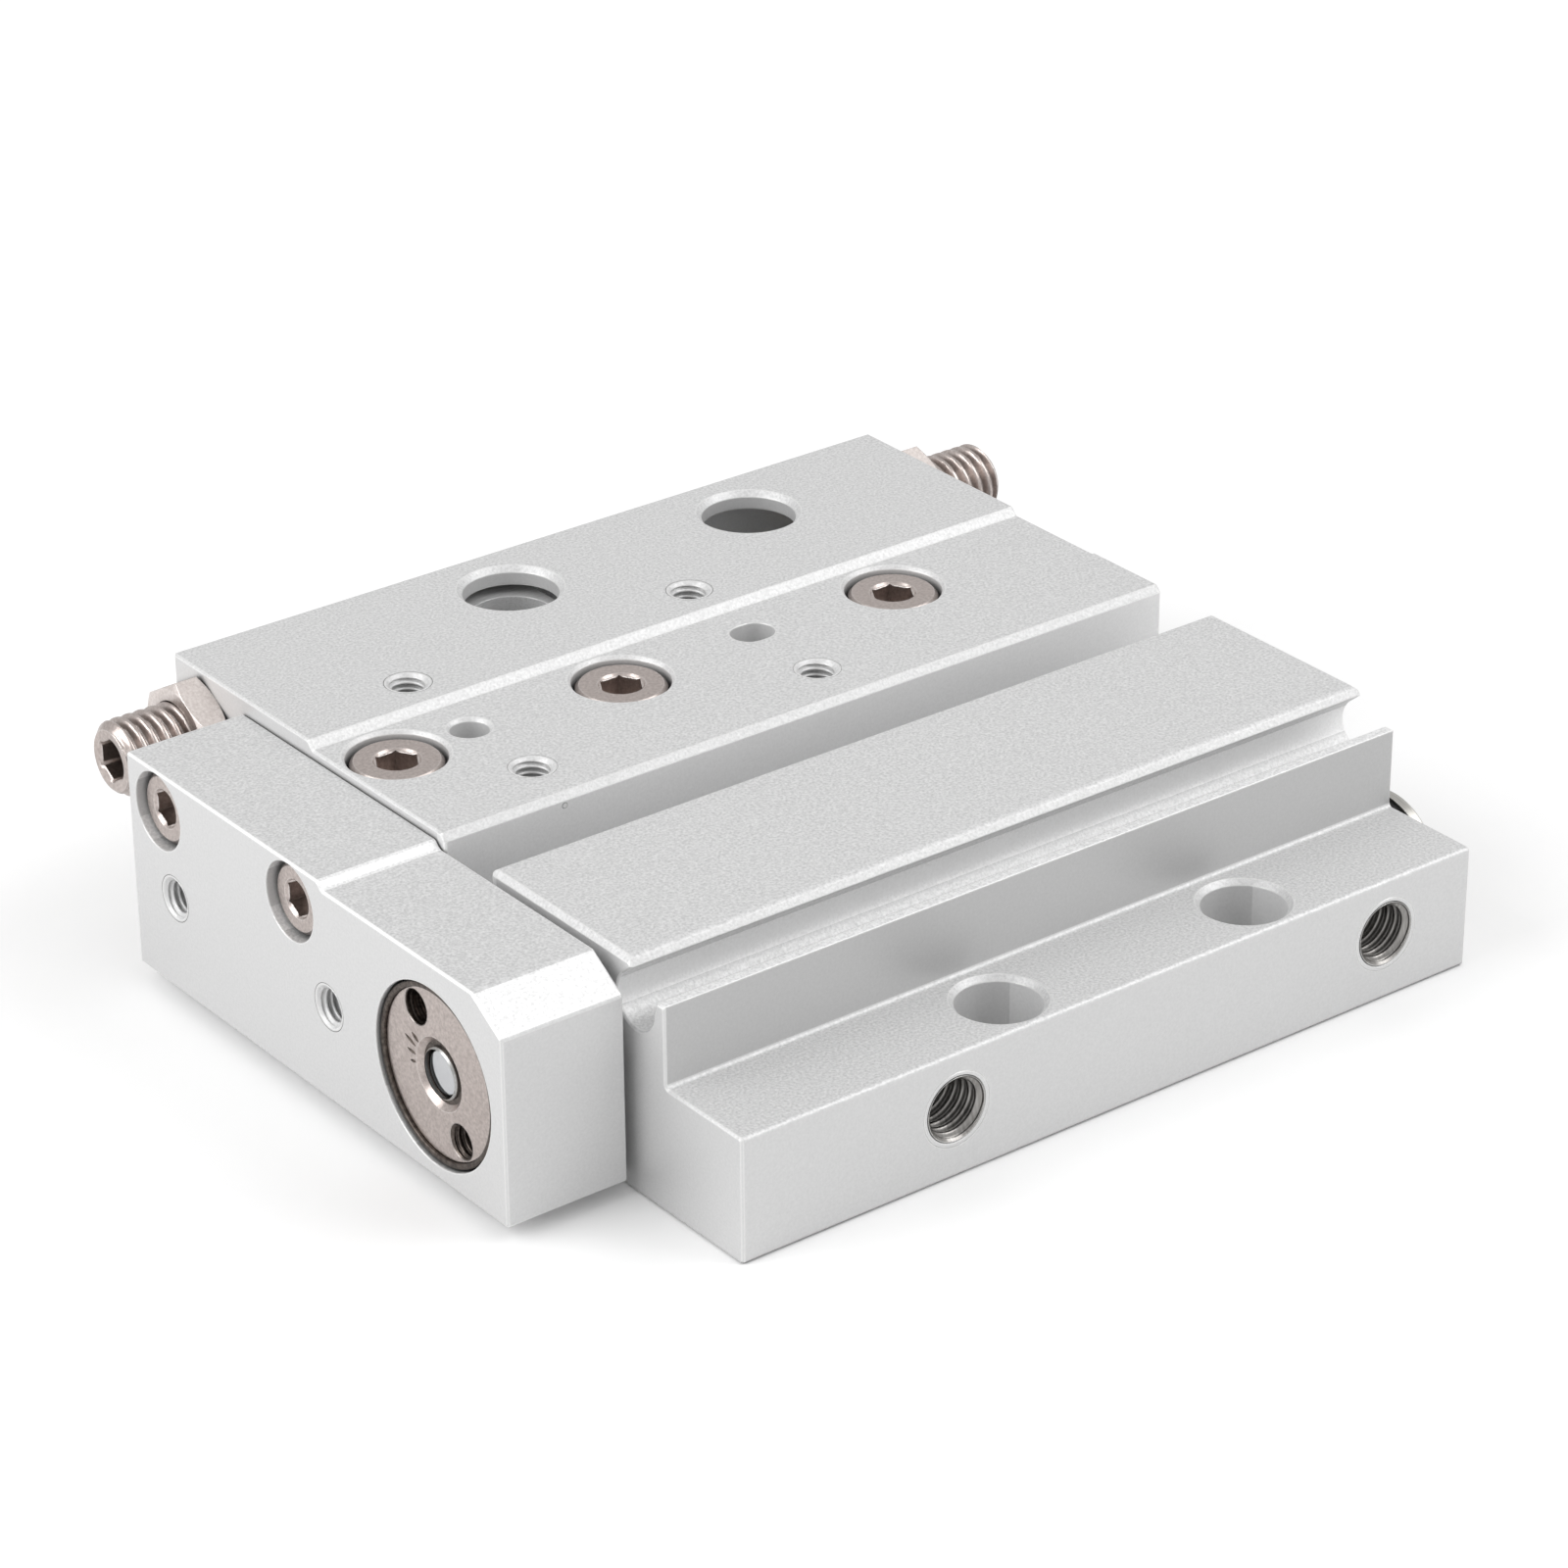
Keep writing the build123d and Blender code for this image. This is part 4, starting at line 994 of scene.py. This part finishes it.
@dataclass
class Studio:
    """The camera at the photograph's viewing angle, the pale floor and the soft light."""

    eye: tuple[float, float, float] = (-216.54, -273.15, 190.3)
    heading_deg: float = 52.61
    tilt_deg: float = -27.94
    roll_deg: float = -0.436
    lens: float = 120.05
    sensor: float = 36.0
    axis_below_middle_px: float = 70.0
    floor_side: float = 6000.0
    floor_drop: float = 0.02
    floor_white: float = 0.86
    floor_seen: float = 0.965
    floor_glow: tuple[float, float] = (0.05, 0.45)
    glow_mm: tuple[float, float] = (130.0, 450.0)
    sky_colour: str = "FFFFFF"
    sky_strength: float = 0.68
    softboxes: list[Softbox] = field(default_factory=lambda: [
        Softbox("key_softbox", -40.0, 44.0, 560.0, 380.0, 2.3),
        Softbox("left_softbox", 165.0, 34.0, 560.0, 400.0, 2.9),
    ])

    def build(self) -> None:
        """Set up everything that isn't the object."""
        scene = bpy.context.scene
        scene.view_settings.view_transform = "Standard"
        self.camera()
        self.floor()
        self.sky()
        low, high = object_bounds()
        for softbox in self.softboxes:
            softbox.build((low + high) / 2)
        log.info("studio: %d softboxes, floor %.0f mm wide", len(self.softboxes), self.floor_side)

    def camera(self) -> None:
        """Place the camera, with the small shift of the photograph's framing."""
        heading, tilt = math.radians(self.heading_deg), math.radians(self.tilt_deg)
        way = Vector((math.cos(heading) * math.cos(tilt), math.sin(heading) * math.cos(tilt), math.sin(tilt)))
        data = bpy.data.cameras.new("camera")
        data.lens = self.lens
        data.sensor_width = self.sensor
        data.shift_y = self.axis_below_middle_px / PHOTO_SIDE
        data.clip_start = 0.01
        holder = bpy.data.objects.new("camera", data)
        roll = Quaternion((0, 0, 1), math.radians(self.roll_deg))
        holder.matrix_world = (Matrix.Translation(Vector(self.eye) * MM)
                               @ (way.to_track_quat("-Z", "Y") @ roll).to_matrix().to_4x4())
        bpy.context.scene.collection.objects.link(holder)
        bpy.context.scene.camera = holder

    def floor(self) -> None:
        """Lay the floor: matt, nearly white, with a glow for the camera that grows with the distance."""
        half = self.floor_side / 2 * MM
        drop = -self.floor_drop * MM
        mesh = bpy.data.meshes.new("floor")
        mesh.from_pydata([(-half, -half, drop), (half, -half, drop), (half, half, drop), (-half, half, drop)],
                         [], [(0, 1, 2, 3)])
        piece = bpy.data.objects.new("floor", mesh)
        bpy.context.scene.collection.objects.link(piece)
        paper = bpy.data.materials.new("matt_white_paper")
        paper.use_nodes = True
        tree = paper.node_tree
        tree.nodes.clear()
        rays = add_node(tree, "LightPath")
        white = add_node(tree, "MapRange", {"To Min": self.floor_white, "To Max": self.floor_seen},
                         {"Value": rays.outputs["Is Camera Ray"]})
        matt = add_node(tree, "BsdfDiffuse", None, {"Color": white.outputs["Result"]})
        place = add_node(tree, "TexCoord").outputs["Object"]
        away = add_node(tree, "VectorMath", {"operation": "LENGTH"}, {0: place})
        # Painted light: the camera sees more glow farther from the object, so the floor is darker near it
        near_glow, far_glow = self.floor_glow
        near, far = (distance * MM for distance in self.glow_mm)
        level = add_node(tree, "MapRange", {"From Min": near, "From Max": far, "To Min": near_glow,
                                            "To Max": far_glow}, {"Value": away.outputs["Value"]})
        glow = add_node(tree, "Math", {"operation": "MULTIPLY"},
                        {0: rays.outputs["Is Camera Ray"], 1: level.outputs["Result"]})
        light = add_node(tree, "Emission", None, {"Strength": glow.outputs["Value"]})
        both = add_node(tree, "AddShader", None, {0: matt.outputs["BSDF"], 1: light.outputs["Emission"]})
        add_node(tree, "OutputMaterial", None, {"Surface": both.outputs["Shader"]})
        mesh.materials.append(paper)
        piece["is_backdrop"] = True

    def sky(self) -> None:
        """Surround the object with even light, which the camera sees as white."""
        world = bpy.data.worlds.new("white_room")
        bpy.context.scene.world = world
        world.use_nodes = True
        tree = world.node_tree
        tree.nodes.clear()
        rays = add_node(tree, "LightPath")
        strength = add_node(tree, "MapRange", {"To Min": self.sky_strength, "To Max": 1.0},
                            {"Value": rays.outputs["Is Camera Ray"]})
        light = add_node(tree, "Background", {"Color": linear(self.sky_colour)},
                         {"Strength": strength.outputs["Result"]})
        add_node(tree, "OutputWorld", None, {"Surface": light.outputs["Background"]})


def main() -> None:
    """Dress the nodes, build the new pieces and set up the studio."""
    logging.basicConfig(level=logging.INFO, format="%(message)s")
    palette = Palette()
    palette.dress_nodes()
    log.info("dressed %d nodes in %d finishes", len(frame["nodes"]), len(palette.materials))
    for side in Side:
        AdjustingScrew(side).build(palette)
    TappedHoles().build(palette)
    RodEnd().build(palette)
    BayWall().build(palette)
    SidePit().build(palette)
    Studio().build()


if __name__ == "__main__":
    main()
